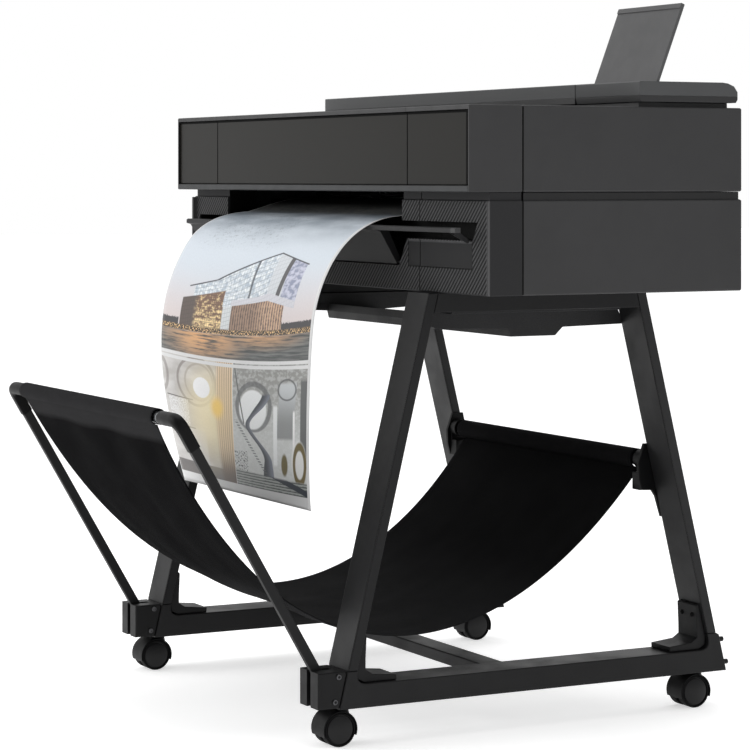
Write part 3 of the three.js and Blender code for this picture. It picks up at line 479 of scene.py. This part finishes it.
    # lower left: pale hall with a round lamp, a warm glow and a fluted column
    room = k.mix(soft.ramp(0.35, 0.7), lin(186, 182, 178), lin(224, 222, 220))
    room = k.mix(ring(0.25, 0.232, 0.135, 0.050, 0.08) * 0.7, room, lin(120, 110, 106))
    room = k.mix(ring(0.27, 0.232, 0.100, 0.038, 0.08) * 0.5, room, lin(138, 126, 120))
    room = k.mix(ring(-0.02, 0.236, 0.06, 0.036, 0.2) * 0.6, room, lin(120, 110, 106))
    room = k.mix(band(x, 0.03, 0.18, 0.004) * band(v, 0.135, 0.190, 0.003) * fine.ramp(0.45, 0.55),
                 room, lin(236, 236, 236))
    room = k.mix(near(v, 0.192, 0.0012) * band(x, 0.02, 0.22), room, lin(96, 92, 90))
    room = k.mix(near(v, 0.130, 0.0012) * band(x, 0.02, 0.22), room, lin(110, 106, 104))
    room = k.mix(band(x, 0.14, 0.30, 0.01) * v.below(0.128), room, lin(206, 206, 212))
    room = k.mix(inside(0.022 - v.min(0.2) + 0.03), room, lin(96, 90, 88))
    flute = (x * SHEET_W).saw(0.0105).ramp(0.05, 0.95)
    column = k.mix(flute, lin(172, 142, 114), lin(240, 220, 192))
    column = k.mix(v.ramp(0.035, 0.11), lin(92, 72, 58), column)
    warm = blob(0.36, 0.165, 0.17, 0.085, 0.8)
    room = k.mix(warm * 0.85, room, lin(255, 238, 190))
    bow = (v - 0.17).abs() * 0.35
    room = k.mix(inside((x - 0.385 - bow * 0.3) * 0.3, 0.006), room,
                 k.mix(warm * 0.35, column, lin(255, 226, 160)))
    room = k.mix(blob(0.395, 0.185, 0.040, 0.020, 0.6), room, lin(255, 214, 110))
    room = k.mix(blob(0.287, 0.222, 0.060, 0.0215, 0.06), room, lin(255, 255, 255))
    # lower right: grey gallery, a ribbon of stair curling down past a white dome, hanging drapes
    gal = k.mix(v.ramp(0.10, 0.27), lin(216, 218, 216), lin(150, 150, 146))
    gal = k.mix(mid.ramp(0.45, 0.6) * 0.35, gal, lin(232, 234, 234))
    gal = k.mix(ring(0.645, 0.196, 0.108, 0.046, 0.16) * 0.75, gal, lin(90, 92, 94))
    gal = k.mix(blob(0.640, 0.190, 0.090, 0.040, 0.06), gal, lin(246, 248, 248))
    gal = k.mix(near((x - 0.52) * 1.0 - (0.27 - v) * 0.55, 0.0, 0.004) * v.above(0.16),
                gal, lin(104, 106, 106))
    drape = inside((0.052 - (x - 0.86 + (0.2 - v) * 0.18).abs()) * 0.7, 0.003) * band(v, 0.135, 0.245, 0.004)
    gal = k.mix(drape, gal, k.mix(v.ramp(0.16, 0.245), lin(150, 152, 152), lin(206, 210, 212)))
    gal = k.mix(ring(0.86, 0.232, 0.055, 0.020, 0.12) * 0.8, gal, lin(92, 94, 96))
    gal = k.mix(band(x, 0.775, 0.800, 0.002) * band(v, 0.08, 0.2, 0.004), gal, lin(244, 246, 246))
    gal = k.mix(band(x, 0.945, 0.990, 0.003) * band(v, 0.08, 0.25, 0.004), gal, lin(104, 106, 106))
    gal = k.mix(near(x, 0.905, 0.006) * band(v, 0.07, 0.19, 0.004), gal, lin(250, 250, 250))
    path = 0.595 + v.ramp(0.150, 0.226) * 0.135 + (1.0 - v.ramp(0.085, 0.168)) * 0.145
    width = 0.014 + (1.0 - v.ramp(0.045, 0.13)) * 0.022 + v.ramp(0.17, 0.2) * 0.012
    stair = inside((width - (x - path).abs()) * 0.7, 0.0015) * band(v, 0.048, 0.222, 0.004)
    gal = k.mix(stair, gal, k.mix((x - path).ramp(-0.02, 0.03), lin(58, 62, 70), lin(128, 134, 146)))
    treads = near(x - 0.515 - (0.17 - v) * 1.9, 0.0, 0.010) * band(v, 0.06, 0.165, 0.004)
    gal = k.mix(treads * v.saw(0.0055).below(0.5) * 0.8, gal, lin(98, 102, 104))
    gal = k.mix(blob(0.845, 0.083, 0.020, 0.022, 0.2), gal, lin(112, 100, 58))
    gal = k.mix(blob(0.935, 0.092, 0.045, 0.040, 0.15), gal, lin(238, 238, 236))
    gal = k.mix(ring(0.940, 0.086, 0.034, 0.036, 0.3), gal, lin(112, 98, 56))
    gal = k.mix(inside(0.090 - v + fine * 0.02) * x.below(0.60) * v.above(0.052) * fine.ramp(0.5, 0.6),
                gal, lin(52, 56, 58))
    floor_ = k.mix((mid * 0.5 + v.saw(0.006) * 0.5).ramp(0.35, 0.6), lin(84, 90, 88), lin(176, 180, 176))
    floor_ = k.mix(near(v - 0.062 + (x - 0.74) * 0.13, 0.0, 0.006), floor_, lin(48, 56, 66))
    gal = k.mix(inside(0.060 - v - (x - 0.5) * 0.02, 0.003), gal, floor_)
    low = k.mix(x.above(0.505), room, gal)
    low = k.mix(inside(0.0010 - (x - 0.505).abs() * SHEET_W, 0.0004), low, lin(238, 238, 238))
    # board: margins and the double rule between the pictures
    white = lin(226, 226, 226)
    board = k.mix(v.above(0.282), low, pic)
    edge = (band(v, 0.272, 0.279, 0.0004)).max(band(v, 0.2815, 0.2885, 0.0004))
    board = k.mix(edge, board, white)
    grain = fine.ramp(0.3, 0.7)
    board = k.mix(grain * 0.06, board, lin(120, 120, 120))
    inner = band(u, 0.004, 0.697, 0.0004) * band(v, 0.024, 0.93, 0.0004)
    # the last of the print, still in the slot, is in shadow
    board = k.mix(k.y.ramp(FRONT + 0.045, FRONT + 0.085) * 0.8, board,
                  k.mix(mid.ramp(0.4, 0.6), lin(44, 40, 34), lin(92, 86, 74)))
    board = k.mix(k.y.ramp(FRONT + 0.085, FRONT + 0.150), board, lin(16, 15, 14))
    k.set("Base Color", k.mix(inner, white, board))
    k.set("Roughness", fine.ramp(0.2, 0.8, 0.38, 0.5))
    k.bump(k.noise(2500.0, 2.0), 0.00001)
    return k


CLOTH = cloth()
PRINT = artwork()
PAPER = moulded("plain_paper", (225, 224, 220), 0.75, 0.00003, 2000, 0.3, 0.02)


# ------------------------------------------------------------------ mesh helpers
def publish(name, bm, look, body, sharp=38, weighted=True):
    """Makes the bmesh an object that rides on a CAD body."""
    bmesh.ops.recalc_face_normals(bm, faces=bm.faces)
    me = bpy.data.meshes.new(name)
    bm.to_mesh(me)
    bm.free()
    me.shade_smooth()
    me.set_sharp_from_angle(angle=math.radians(sharp))
    for m in look if isinstance(look, (list, tuple)) else [look]:
        me.materials.append(m.m)
    o = bpy.data.objects.new(name, me)
    bpy.context.collection.objects.link(o)
    if weighted:
        o.modifiers.new("weighted", "WEIGHTED_NORMAL").keep_sharp = True
    if body:
        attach(o, body)
    return o


BODY_OF = {n: b for b, ns in frame["record"]["behaviour"]["bodies"].items() for n in ns}


def leg_line(z, rear=False):
    """The front edge of a leg at a height, in millimetres."""
    return 479.4 + 0.2436 * (832.9 - z) if rear else 18 - 0.2436 * (832.9 - z)


def touch_up(node, p):
    """Small changes of shape to a CAD copy, for a corner point in the millimetres of P."""
    x, y, z = p
    if node.startswith(("front_bracket", "rear_bracket")):
        rear = node.startswith("rear")
        face = leg_line(z, rear) + (-0.4 if rear else 21.4)
        out = (face - y) if rear else (y - face)
        grow = 8 if out > 70 else (-4 if z > 190 and out > 3 else 0)
        y += -grow if rear else grow
    elif node.startswith("basket_clamp") and y < -200:
        y -= 5
    elif node.startswith("foot_rail") and y > leg_line(z, True) + 21 + 6 + 5:
        y += 4.5
    elif node == "upper_cross_beam":
        if abs(y - 362) < 1 and z > 765:
            z = 759
        elif abs(x) > 380 and abs(z - 757) < 0.5 and (y < 200 or y > 400):
            z = 765 if x < 0 else 760
    return x, y, z


def refine(node, look, bevel=1.0, segments=2, sharp=45):
    """A finished copy of a CAD node: flats merged, edges rounded."""
    bm = bmesh.new()
    bm.from_mesh(NODES[node].data)
    for v in bm.verts:
        v.co = P(*touch_up(node, (v.co.x * 1000, (v.co.y - FRONT) * 1000, v.co.z * 1000)))
    bmesh.ops.remove_doubles(bm, verts=bm.verts, dist=2e-6)
    bmesh.ops.dissolve_limit(bm, angle_limit=math.radians(0.6), verts=bm.verts, edges=bm.edges)
    o = publish("vis_" + node, bm, look, BODY_OF[node], sharp)
    if bevel:
        b = o.modifiers.new("rounded", "BEVEL")
        b.width, b.segments, b.limit_method = bevel / 1000, segments, "ANGLE"
        b.angle_limit = math.radians(28)
        b.harden_normals = False
        o.modifiers.move(1, 0)
    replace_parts(o, node)
    return o


def tube(bm, pts, radius, seg=24, caps=True, up=Vector((1, 0, 0)), section=None):
    """A round or shaped bar along points; section(i, angle) gives the radius where it isn't constant."""
    rings = []
    for i, p in enumerate(pts):
        t = (pts[min(i + 1, len(pts) - 1)] - pts[max(i - 1, 0)]).normalized()
        side = up - t * up.dot(t)
        if side.length < 1e-6:
            side = t.orthogonal()
        side.normalize()
        other = t.cross(side)
        row = []
        for k in range(seg):
            a = math.tau * k / seg
            if section:
                u, v = section(i, a)
            else:
                u, v = radius * math.cos(a), radius * math.sin(a)
            row.append(bm.verts.new(p + side * u + other * v))
        rings.append(row)
    for r0, r1 in zip(rings, rings[1:]):
        for k in range(seg):
            bm.faces.new((r0[k], r0[(k + 1) % seg], r1[(k + 1) % seg], r1[k]))
    if caps:
        bm.faces.new(rings[0][::-1])
        bm.faces.new(rings[-1])
    return rings


def lathe(bm, profile, centre, axis, seg=48, hexed=()):
    """Revolves (radius mm, height mm) pairs; rows listed in hexed are six-sided."""
    a = Vector(axis).normalized()
    s = a.orthogonal().normalized()
    t = a.cross(s)
    rows = []
    for i, (r, h) in enumerate(profile):
        base = centre + a * (h / 1000)
        if r <= 0:
            rows.append([bm.verts.new(base)])
            continue
        row = []
        for k in range(seg):
            ang = math.tau * k / seg
            q = r
            if i in hexed:
                q = r / math.cos((ang + math.pi / 6) % (math.pi / 3) - math.pi / 6)
            row.append(bm.verts.new(base + (s * math.cos(ang) + t * math.sin(ang)) * (q / 1000)))
        rows.append(row)
    faces = []
    for r0, r1 in zip(rows, rows[1:]):
        for k in range(seg):
            j = (k + 1) % seg
            if len(r0) == 1:
                faces.append(bm.faces.new((r0[0], r1[j], r1[k])))
            elif len(r1) == 1:
                faces.append(bm.faces.new((r0[k], r0[j], r1[0])))
            else:
                faces.append(bm.faces.new((r0[k], r0[j], r1[j], r1[k])))
    return faces


def socket_screw(name, at, axis, body, r=4.6, h=3.4):
    bm = bmesh.new()
    prof = [(0, -h), (r, -h), (r, h - 0.8), (r - 0.8, h), (r * 0.55, h),
            (r * 0.5, h - 0.4), (r * 0.5, 0.6), (0, 0.4)]
    lathe(bm, prof, at, axis, 24, hexed=(4, 5, 6))
    return publish(name, bm, SCREW, body, 30)


def dome_screw(name, at, axis, body, r=5.0, h=2.6):
    bm = bmesh.new()
    prof = [(0, -2), (r, -2), (r, 0.4), (r * 0.92, h * 0.55), (r * 0.7, h * 0.85),
            (r * 0.42, h), (r * 0.36, h - 1.2), (0, h - 1.4)]
    lathe(bm, prof, at, axis, 24, hexed=(6,))
    return publish(name, bm, PLASTIC, body, 40)


# ------------------------------------------------------------------ covers, stand and mechanism
FINISH = {
    SHELL: ["upper_shell", "lower_shell", "front_frame"],
    BEZEL: ["bezel_centre", "bezel_right"],
    GLOSS: ["front_panel_left", "window_cover", "ink_door"],
    TRIM: ["trim_strip", "power_button"],
    FLAP: ["output_flap"],
    STAND: [n for n in NODES if n.startswith(("foot_rail", "front_leg", "top_beam"))] + ["lower_cross_beam"],
    REAR_LEG_LIT_COPY: [n for n in NODES if n.startswith("rear_leg")],
    BEAM_LIT_COPY: ["upper_cross_beam"],
    BRACKET: [n for n in NODES if n.startswith(("front_bracket", "rear_bracket"))],
    CLAMP: [n for n in NODES if n.startswith("basket_clamp")],
    PLASTIC: [n for n in NODES if n.startswith("rear_bar_bracket")] + ["power_inlet"],
}
EDGE = {"trim_strip": 0.4, "power_button": 0.4, "power_inlet": 0.4, "window_cover": 0.6, "ink_door": 0.6,
        "front_panel_left": 0.6, "output_flap": 0.7}
for look, names in FINISH.items():
    for n in names:
        refine(n, look, EDGE.get(n, 1.2))

INNER = {DARK: ["platen", "carriage", "roll_spindle"], ZINC: ["chassis", "carriage_motor"],
         STEEL: ["carriage_rod"],
         RUBBER: ["feed_roller", "pinch_rollers", "drive_belt"], INK: ["ink_tanks"], PAPER: ["paper_roll"]}
for look, names in INNER.items():
    for n in names:
        refine(n, look, 0.4, 1)


# ------------------------------------------------------------------ lid halves with smooth rounded rears
def lid_outline(inset):
    lo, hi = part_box("roll_cover")
    y0, y1, z0, z1 = lo.y + inset, hi.y - inset, lo.z, hi.z - inset
    pts = [(y0, z0), (y0, z1 - 0.002)]
    pts += [(y0 + 0.002 - 0.002 * math.cos(a), z1 - 0.002 + 0.002 * math.sin(a))
            for a in (0.5, 1.0, math.pi / 2)]
    for i in range(13):
        a = math.pi / 2 * (1 - i / 12)
        pts.append((y1 - 0.032 + 0.032 * math.cos(a), z1 - 0.022 + 0.022 * math.sin(a)))
    pts += [(y1, z0 + 0.006)]
    pts += [(y1 - 0.006 + 0.006 * math.cos(a), z0 + 0.006 - 0.006 * math.sin(a))
            for a in (0.5, 1.0, math.pi / 2)]
    return pts


def lid_shell(node, body):
    """A hollow cap with closed ends, open below."""
    lo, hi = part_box(node)
    bm = bmesh.new()
    wall = 0.004
    outer, inner = lid_outline(0), lid_outline(wall)
    def row(pts, x):
        return [bm.verts.new((x, y, z)) for y, z in pts]
    o0, o1 = row(outer, lo.x), row(outer, hi.x)
    i0, i1 = row(inner, lo.x + wall), row(inner, hi.x - wall)
    n = len(outer)
    for k in range(n - 1):
        bm.faces.new((o0[k], o1[k], o1[k + 1], o0[k + 1]))
        bm.faces.new((i0[k], i0[k + 1], i1[k + 1], i1[k]))
    bm.faces.new(o0)
    bm.faces.new(o1[::-1])
    bm.faces.new(i0[::-1])
    bm.faces.new(i1)
    bm.faces.new((o0[0], i0[0], i1[0], o1[0]))
    bm.faces.new((o0[-1], o1[-1], i1[-1], i0[-1]))
    bm.faces.new((o0[-1], i0[-1], i0[0], o0[0]))
    bm.faces.new((o1[-1], o1[0], i1[0], i1[-1]))
    o = publish("vis_" + node, bm, LID, body, 50)
    b = o.modifiers.new("rounded", "BEVEL")
    b.width, b.segments, b.limit_method, b.angle_limit = 0.0012, 3, "ANGLE", math.radians(40)
    o.modifiers.move(1, 0)
    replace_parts(o, node)
    return o


lid_shell("roll_cover", "roll_lid")
refine("feeder_housing", LID, 1.0, 2)
refine("sheet_support", SUPPORT, 0.9, 2)


# ------------------------------------------------------------------ basket: bars, arms, elbows
PIVOT = Vector((-180.5, 112))
TILT, ARM_LEN = 0.5266, 578.0


def arm_pt(x, d, off=0.0):
    """A point on the arm's line: d along it from the pivot, off across it."""
    return P(x, PIVOT.x - d * math.sin(TILT) + off * math.cos(TILT),
             PIVOT.y + d * math.cos(TILT) + off * math.sin(TILT))


def rounded_rect(w, h, a, power=9.0):
    """Point of a rounded rectangle at an angle; a higher power has sharper corners."""
    c, s = math.cos(a), math.sin(a)
    e = 2.0 / power
    return (w * math.copysign(abs(c) ** e, c), h * math.copysign(abs(s) ** e, s))


for side, sx in (("right", 1), ("left", -1)):
    bm = bmesh.new()
    pts = [arm_pt(433 * sx, d) for d in (0, 30, 120, 220, 320, 420, 500, ARM_LEN - 53)]
    tube(bm, pts, 0, 48, section=lambda i, a: rounded_rect(0.0065, 0.0095, a))
    lathe(bm, [(0, -6.5), (9.6, -6.5), (10.1, -6), (10.1, 6), (9.6, 6.5), (0, 6.5)],
          arm_pt(433 * sx, 0), (1, 0, 0), 32)
    arm = publish("vis_basket_arm_" + side, bm, STAND, "basket_frame", 40)
    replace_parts(arm, "basket_arm_" + side)
    # elbow: square-ish socket on the arm, round on the bar
    bm = bmesh.new()
    path, shape = [], []
    bend = 24
    for d in (ARM_LEN - 61, ARM_LEN - 60, ARM_LEN - 50, ARM_LEN - 38, ARM_LEN - bend):
        path.append(arm_pt(433 * sx, d))
        shape.append(0.0)
    for i in range(1, 10):
        t = i / 10
        a, b, c = (arm_pt(433 * sx, ARM_LEN - bend), arm_pt(433 * sx, ARM_LEN),
                   arm_pt((433 - bend) * sx, ARM_LEN))
        path.append(a * (1 - t) ** 2 + b * 2 * t * (1 - t) + c * t * t)
        shape.append(t)
    for x in (433 - bend, 395, 378, 359.4, 358.2):
        path.append(arm_pt(x * sx, ARM_LEN))
        shape.append(1.0)
    plane = (arm_pt(0, 1) - arm_pt(0, 0)).normalized().cross(Vector((1, 0, 0)))

    def sect(i, a, shape=shape):
        t = min(1.0, shape[i] * 1.6)
        u0, v0 = rounded_rect(0.0112, 0.0084, a, 7.0)
        r = 0.0130
        grow = 0.93 if i in (0, len(shape) - 1) else 1.0
        return ((u0 * (1 - t) + r * math.cos(a) * t) * grow, (v0 * (1 - t) + r * math.sin(a) * t) * grow)

    tube(bm, path, 0, 32, up=plane, section=sect)
    elbow = publish("vis_basket_elbow_" + side, bm, PLASTIC, "basket_frame", 40)
    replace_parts(elbow, "basket_elbow_" + side)
    socket_screw("clamp_screw_high_" + side, P(473.4 * sx, -169.2, 132.8), (sx, 0, 0), "machine", 5.0, 2.6)
    socket_screw("clamp_screw_low_" + side, P(473.4 * sx, -176.7, 87.3), (sx, 0, 0), "machine", 5.0, 2.6)
socket_screw("clamp_screw_high_left_in", P(-394.6, -169.2, 132.8), (1, 0, 0), "machine", 5.0, 2.6)
socket_screw("clamp_screw_low_left_in", P(-394.6, -176.7, 87.3), (1, 0, 0), "machine", 5.0, 2.6)

BARS = (("basket_front_bar", "basket_frame", STEEL, "bright_steel"),
        ("basket_rear_bar", "machine", STAND, "stand_black_steel"))
for node, body, look, slot in BARS:
    lo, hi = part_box(node)
    c, r = (lo + hi) / 2, (hi.z - lo.z) / 2
    bm = bmesh.new()
    ends = [Vector((x, c.y, c.z)) for x in (lo.x, lo.x + 0.001, hi.x - 0.001, hi.x)]
    tube(bm, ends, r, 40, section=lambda i, a, r=r: ((r - (0.001 if i in (0, 3) else 0)) * math.cos(a),
                                                     (r - (0.001 if i in (0, 3) else 0)) * math.sin(a)))
    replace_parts(publish("vis_" + node, bm, look, body, 40), node)


# ------------------------------------------------------------------ basket cloth
def bezier(p, t):
    return p[0] * (1 - t) ** 3 + p[1] * 3 * t * (1 - t) ** 2 + p[2] * 3 * t * t * (1 - t) + p[3] * t ** 3


def basket_cloth():
    """One strip: hem, round the front bar, down the sling, up, round the rear bar, hem.

    The two edges hang along slightly different curves, and the strip narrows in the middle."""
    f0, r0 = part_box("basket_front_bar"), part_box("basket_rear_bar")
    fc, rc = (f0[0] + f0[1]) / 2, (r0[0] + r0[1]) / 2
    fr, rr = 0.0150, 0.0186
    yz = lambda v: Vector((v.y, v.z))
    fcen, rcen = yz(fc), yz(rc)
    sling, span = 110, 25

    def edge_path(near, far):
        ctrl = [yz(P(0, *near)), yz(P(0, *far))]
        start = fcen + Vector((-2, -14)).normalized() * fr
        end = rcen + Vector((2, -16)).normalized() * rr
        a0 = math.atan2(start.y - fcen.y, start.x - fcen.x)
        a1 = math.atan2(end.y - rcen.y, end.x - rcen.x)
        turn = math.tau * 0.93
        hem0 = [fcen + Vector((math.cos(a), math.sin(a))) * fr
                for a in (a0 - turn * (1 - i / (span - 1)) for i in range(span))]
        hem1 = [rcen + Vector((math.cos(a), math.sin(a))) * rr
                for a in (a1 - turn * i / (span - 1) for i in range(span))]
        return hem0 + [bezier([start, *ctrl, end], i / sling) for i in range(1, sling)] + hem1

    left = edge_path((-209.5, 94), (246.4, 34))
    right = edge_path((-220.3, 69.9), (222.3, 21.4))
    length = [0.0]
    for k in range(1, len(left)):
        length.append(length[-1] + ((left[k] - left[k - 1]).length + (right[k] - right[k - 1]).length) / 2)
    cols = 72
    bm = bmesh.new()
    uv = bm.loops.layers.uv.new("UVMap")
    rows, st = [], {}
    for j in range(len(left)):
        t = min(1.0, max(0.0, (j - span + 1) / sling))
        env = math.sin(math.pi * t)
        half_l = CLOTH_HALF - 0.0343 * math.sin(math.pi * t ** 0.63)
        half_r = CLOTH_HALF - 0.0376 * math.sin(math.pi * t ** 0.82)\
            - (0.011 * math.exp(-(t / 0.12) ** 2) if t > 0 else 0.0)
        if t == 0:
            half_r = CLOTH_HALF - 0.011
        row = []
        for i in range(cols + 1):
            w = 2 * i / cols - 1
            x = (half_r if w > 0 else half_l) * w
            q = left[j].lerp(right[j], (w + 1) / 2)
            if 0 < t < 1:
                a, b = (left[j - 1].lerp(right[j - 1], (w + 1) / 2),
                        left[j + 1].lerp(right[j + 1], (w + 1) / 2))
                d = (b - a).normalized()
                nx = Vector((-d.y, d.x))
                sag = -0.001 * env * (1 - w * w)
                pull = 0.0035 * math.sin(w * 9 + t * 4) * math.exp(-t * 7) * (1 - abs(w)) * min(1, t * 20)
                soft = 0.006 * noise.noise(Vector((w * 1.6, t * 3.5, 3.1))) * env * (1 - w ** 6)
                crease = 0.0022 * noise.noise(Vector((w * 7, t * 5 + w * 3, 8.4))) * env
                curl = 0.003 * abs(w) ** 14 * env
                q = q + nx * (sag + soft + crease + pull + curl)
            v = bm.verts.new((x, q.x, q.y))
            st[v] = (CLOTH_HALF * w, length[j])
            row.append(v)
        rows.append(row)
    for r0_, r1_ in zip(rows, rows[1:]):
        for i in range(cols):
            f = bm.faces.new((r0_[i], r0_[i + 1], r1_[i + 1], r1_[i]))
            for l in f.loops:
                l[uv].uv = st[l.vert]
    o = publish("vis_basket_fabric", bm, CLOTH, None, 60, weighted=False)
    s = o.modifiers.new("cloth_thickness", "SOLIDIFY")
    s.thickness, s.offset = 0.0014, 0.0
    tuple(P(0, 120, 180))
    tuple(P(0, -440, 540))
    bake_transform(o)
    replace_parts(o, "basket_fabric")
    return o


basket_cloth()


# ------------------------------------------------------------------ printed sheet
def sheet_path(drape):
    """From the roll to the bottom edge, as (y, z) points in metres."""
    v2 = lambda y, z: Vector((P(0, y, z).y, P(0, y, z).z))
    pieces = [[(423.1, 1112), (423.1, 1046), (385, 1003.4), (318, 1003.4)],
              [(318, 1003.4), (290, 1003.4), (240, 1003.4), (205, 1003.4)],
              [(205, 1003.4), (150, 1003.4), (110, 985), (67, 974.5)],
              [(67, 974.5), drape[0], drape[1], drape[2]],
              [drape[2], drape[3], drape[4], drape[5]]]
    pts = []
    for k, (ctrl, n) in enumerate(zip(pieces, (12, 4, 14, 40, 50))):
        c = [v2(*q) for q in ctrl]
        pts += [bezier(c, i / n) for i in range(1 if k else 0, n + 1)]
    return pts


def printed_sheet():
    right = sheet_path([(-56, 969), (-104, 866), (-120, 796), (-134, 731), (-138, 503), (-130, 413)])
    left = sheet_path([(-50, 970), (-80, 907), (-93, 883), (-171, 745), (-140, 584), (-95, 402)])
    lo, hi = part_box("printed_sheet")
    n, cols = len(right), 40
    def run(pts):
        out = [0.0]
        for a, b in zip(pts[::-1], pts[::-1][1:]):
            out.append(out[-1] + (b - a).length)
        return out[::-1]
    sl, sr = run(left), run(right)
    bm = bmesh.new()
    uv = bm.loops.layers.uv.new("UVMap")
    rows, st = [], {}
    for j in range(n):
        t = max(0.0, (j - (n - 51)) / 50)
        x0 = lo.x + 0.028 * t * t
        row = []
        for i in range(cols + 1):
            w = i / cols
            hang = max(0.0, min(1.0, (j - 40) / 40))
            curl = (1 - w) ** (1 + 1.2 * hang)
            y, z = right[j].lerp(left[j], curl)
            v = bm.verts.new((lo.x + (x0 - lo.x) * curl + (hi.x - lo.x) * w, y, z))
            st[v] = (SHEET_W * w, sl[j] * (1 - w) + sr[j] * w)
            row.append(v)
        rows.append(row)
    for a, b in zip(rows, rows[1:]):
        for i in range(cols):
            f = bm.faces.new((a[i], b[i], b[i + 1], a[i + 1]))
            for l in f.loops:
                l[uv].uv = st[l.vert]
    o = publish("vis_printed_sheet", bm, (PAPER, PRINT), "machine", 60, weighted=False)
    s = o.modifiers.new("paper_thickness", "SOLIDIFY")
    s.thickness, s.offset, s.material_offset, s.material_offset_rim = 0.0003, 0.0, 1, 1
    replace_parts(o, "printed_sheet")


printed_sheet()


# ------------------------------------------------------------------ casters
def caster(label):
    lo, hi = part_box("caster_wheels_" + label)
    c = (lo + hi) / 2
    c.z = 0.0318
    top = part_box("foot_rail_" + label.split("_")[1])[0].z * 1000
    pin = Vector((c.x, c.y + 0.014, 0))
    body_h, body_w = "swivel_" + label, "wheels_" + label
    bm = bmesh.new()
    for s in (1, -1):
        prof = [(4.0, 5.4), (10, 5.4), (11, 6.6), (28, 6.6), (29.5, 5.6), (31, 6.4), (31.8, 8.4),
                (31.8, 23.2), (31, 25.2), (29.4, 25.9), (27.6, 25.6), (27.2, 22.5), (26, 22.5),
                (25.6, 24.6), (22, 25.8), (14, 27.0), (7, 27.6), (0, 27.8)]
        faces = lathe(bm, prof, c, (s, 0, 0), 64)
        for i, f in enumerate(faces):
            f.material_index = 1 if i >= 64 * 11 else 0
    lathe(bm, [(0, -20), (4, -20), (4, 20), (0, 20)], c, (1, 0, 0), 24)
    w = publish("vis_caster_wheels_" + label, bm, [TYRE, DISC], body_w, 40)
    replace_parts(w, "caster_wheels_" + label)
    # hood: rolled rim over both wheels, centre web, crown and pin
    bm = bmesh.new()
    seg = 48
    a0, a1 = math.radians(-20), math.radians(200)
    section = [(32.5, -26.4), (33.2, -27), (34.3, -27), (34.9, -26.2),
               (34.9, 26.2), (34.3, 27), (33.2, 27), (32.5, 26.4)]
    rows = []
    for i in range(seg + 1):
        a = a0 + (a1 - a0) * i / seg
        rows.append([bm.verts.new(c + Vector((x / 1000, r / 1000 * math.cos(a), r / 1000 * math.sin(a))))
                     for r, x in section])
    for r0, r1 in zip(rows, rows[1:]):
        for k in range(8):
            bm.faces.new((r0[k], r0[(k + 1) % 8], r1[(k + 1) % 8], r1[k]))
    bm.faces.new(rows[0])
    bm.faces.new(rows[-1][::-1])
    web = []
    for x in (-4.5, 4.5):
        ring = [bm.verts.new(c + Vector((x / 1000, 0.0330 * math.cos(t), 0.0330 * math.sin(t))))
                for t in [math.radians(-25) + math.radians(230) * i / 32 for i in range(33)]]
        web.append(ring)
        bm.faces.new(ring)
    for k in range(33):
        bm.faces.new((web[0][k], web[0][(k + 1) % 33], web[1][(k + 1) % 33], web[1][k]))
    crown = [(0, 51), (15, 51), (15, 59), (14, 63), (13.6, top - 1.2), (13.1, top - 0.7), (5, top - 0.7),
             (5, top + 23.4), (4.4, top + 24), (0, top + 24)]
    lathe(bm, crown, pin, (0, 0, 1), 40)
    h = publish("vis_caster_hood_" + label, bm, PLASTIC, body_h, 35)
    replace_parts(h, "caster_hood_" + label)


for label in ("front_right", "front_left", "rear_right", "rear_left"):
    caster(label)


# ------------------------------------------------------------------ small fittings
def lean(z):
    return 0.2436 * (832.9 - z)


for sx, side in ((1, "right"), (-1, "left")):
    for x in (415, 450):
        front = P(x * sx, 18 - lean(184) + 21 + 11.9, 184)
        rear = P(x * sx, 479.4 + lean(184) - 11.9, 184)
        dome_screw(f"front_bracket_screw_{side}_{x}", front, (0, 1, 0.25), "machine", 4.6, 2.4)
        dome_screw(f"rear_bracket_screw_{side}_{x}", rear, (0, -1, 0.25), "machine", 4.6, 2.4)


# ------------------------------------------------------------------ floor, light
def stage_floor():
    me = bpy.data.meshes.new("floor")
    me.from_pydata([(-40, -40, 0), (40, -40, 0), (40, 40, 0), (-40, 40, 0)], [], [(0, 1, 2, 3)])
    o = bpy.data.objects.new("floor", me)
    bpy.context.collection.objects.link(o)
    k = Look("pale_floor", 0.9, spec=0.1)
    k.tint(lin(236, 236, 236), lin(240, 240, 240), k.noise(3.0))
    k.set("Emission Color", (1, 1, 1, 1))
    k.set("Emission Strength", 0.55)
    me.materials.append(k.m)


stage_floor()
def studio_world():
    """A white studio, darker on the operator's right where the room falls off."""
    world = bpy.data.worlds.new("studio")
    bpy.context.scene.world = world
    world.use_nodes = True
    t = world.node_tree
    coord = t.nodes.new("ShaderNodeTexCoord")
    sep = t.nodes.new("ShaderNodeSeparateXYZ")
    t.links.new(coord.outputs["Generated"], sep.inputs[0])
    fall = Val(t, sep.outputs[0]).ramp(-0.5, 0.5, 1.0, 0.4)
    t.links.new(fall.o, t.nodes["Background"].inputs["Strength"])
    t.nodes["Background"].inputs["Color"].default_value = (1, 1, 1, 1)


studio_world()


def softbox(name, at, to, size, power):
    d = bpy.data.lights.new(name, "AREA")
    d.shape, d.size, d.size_y, d.energy = "RECTANGLE", size[0], size[1], power
    o = bpy.data.objects.new(name, d)
    bpy.context.collection.objects.link(o)
    o.location = at
    o.rotation_euler = (Vector(to) - Vector(at)).to_track_quat("-Z", "Y").to_euler()
    return o


softbox("key", (-1.6, -3.6, 2.4), (0.1, 0, 0.7), (2.5, 2.5), 45)
softbox("side", (4.0, 0.8, 2.6), (0.2, 0.1, 0.9), (2.0, 2.0), 18)
softbox("top", (0, 0, 4.2), (0, 0, 0.8), (3.5, 3.0), 50)

scene = bpy.context.scene
scene.view_settings.view_transform = "Standard"
scene.view_settings.look = "None"
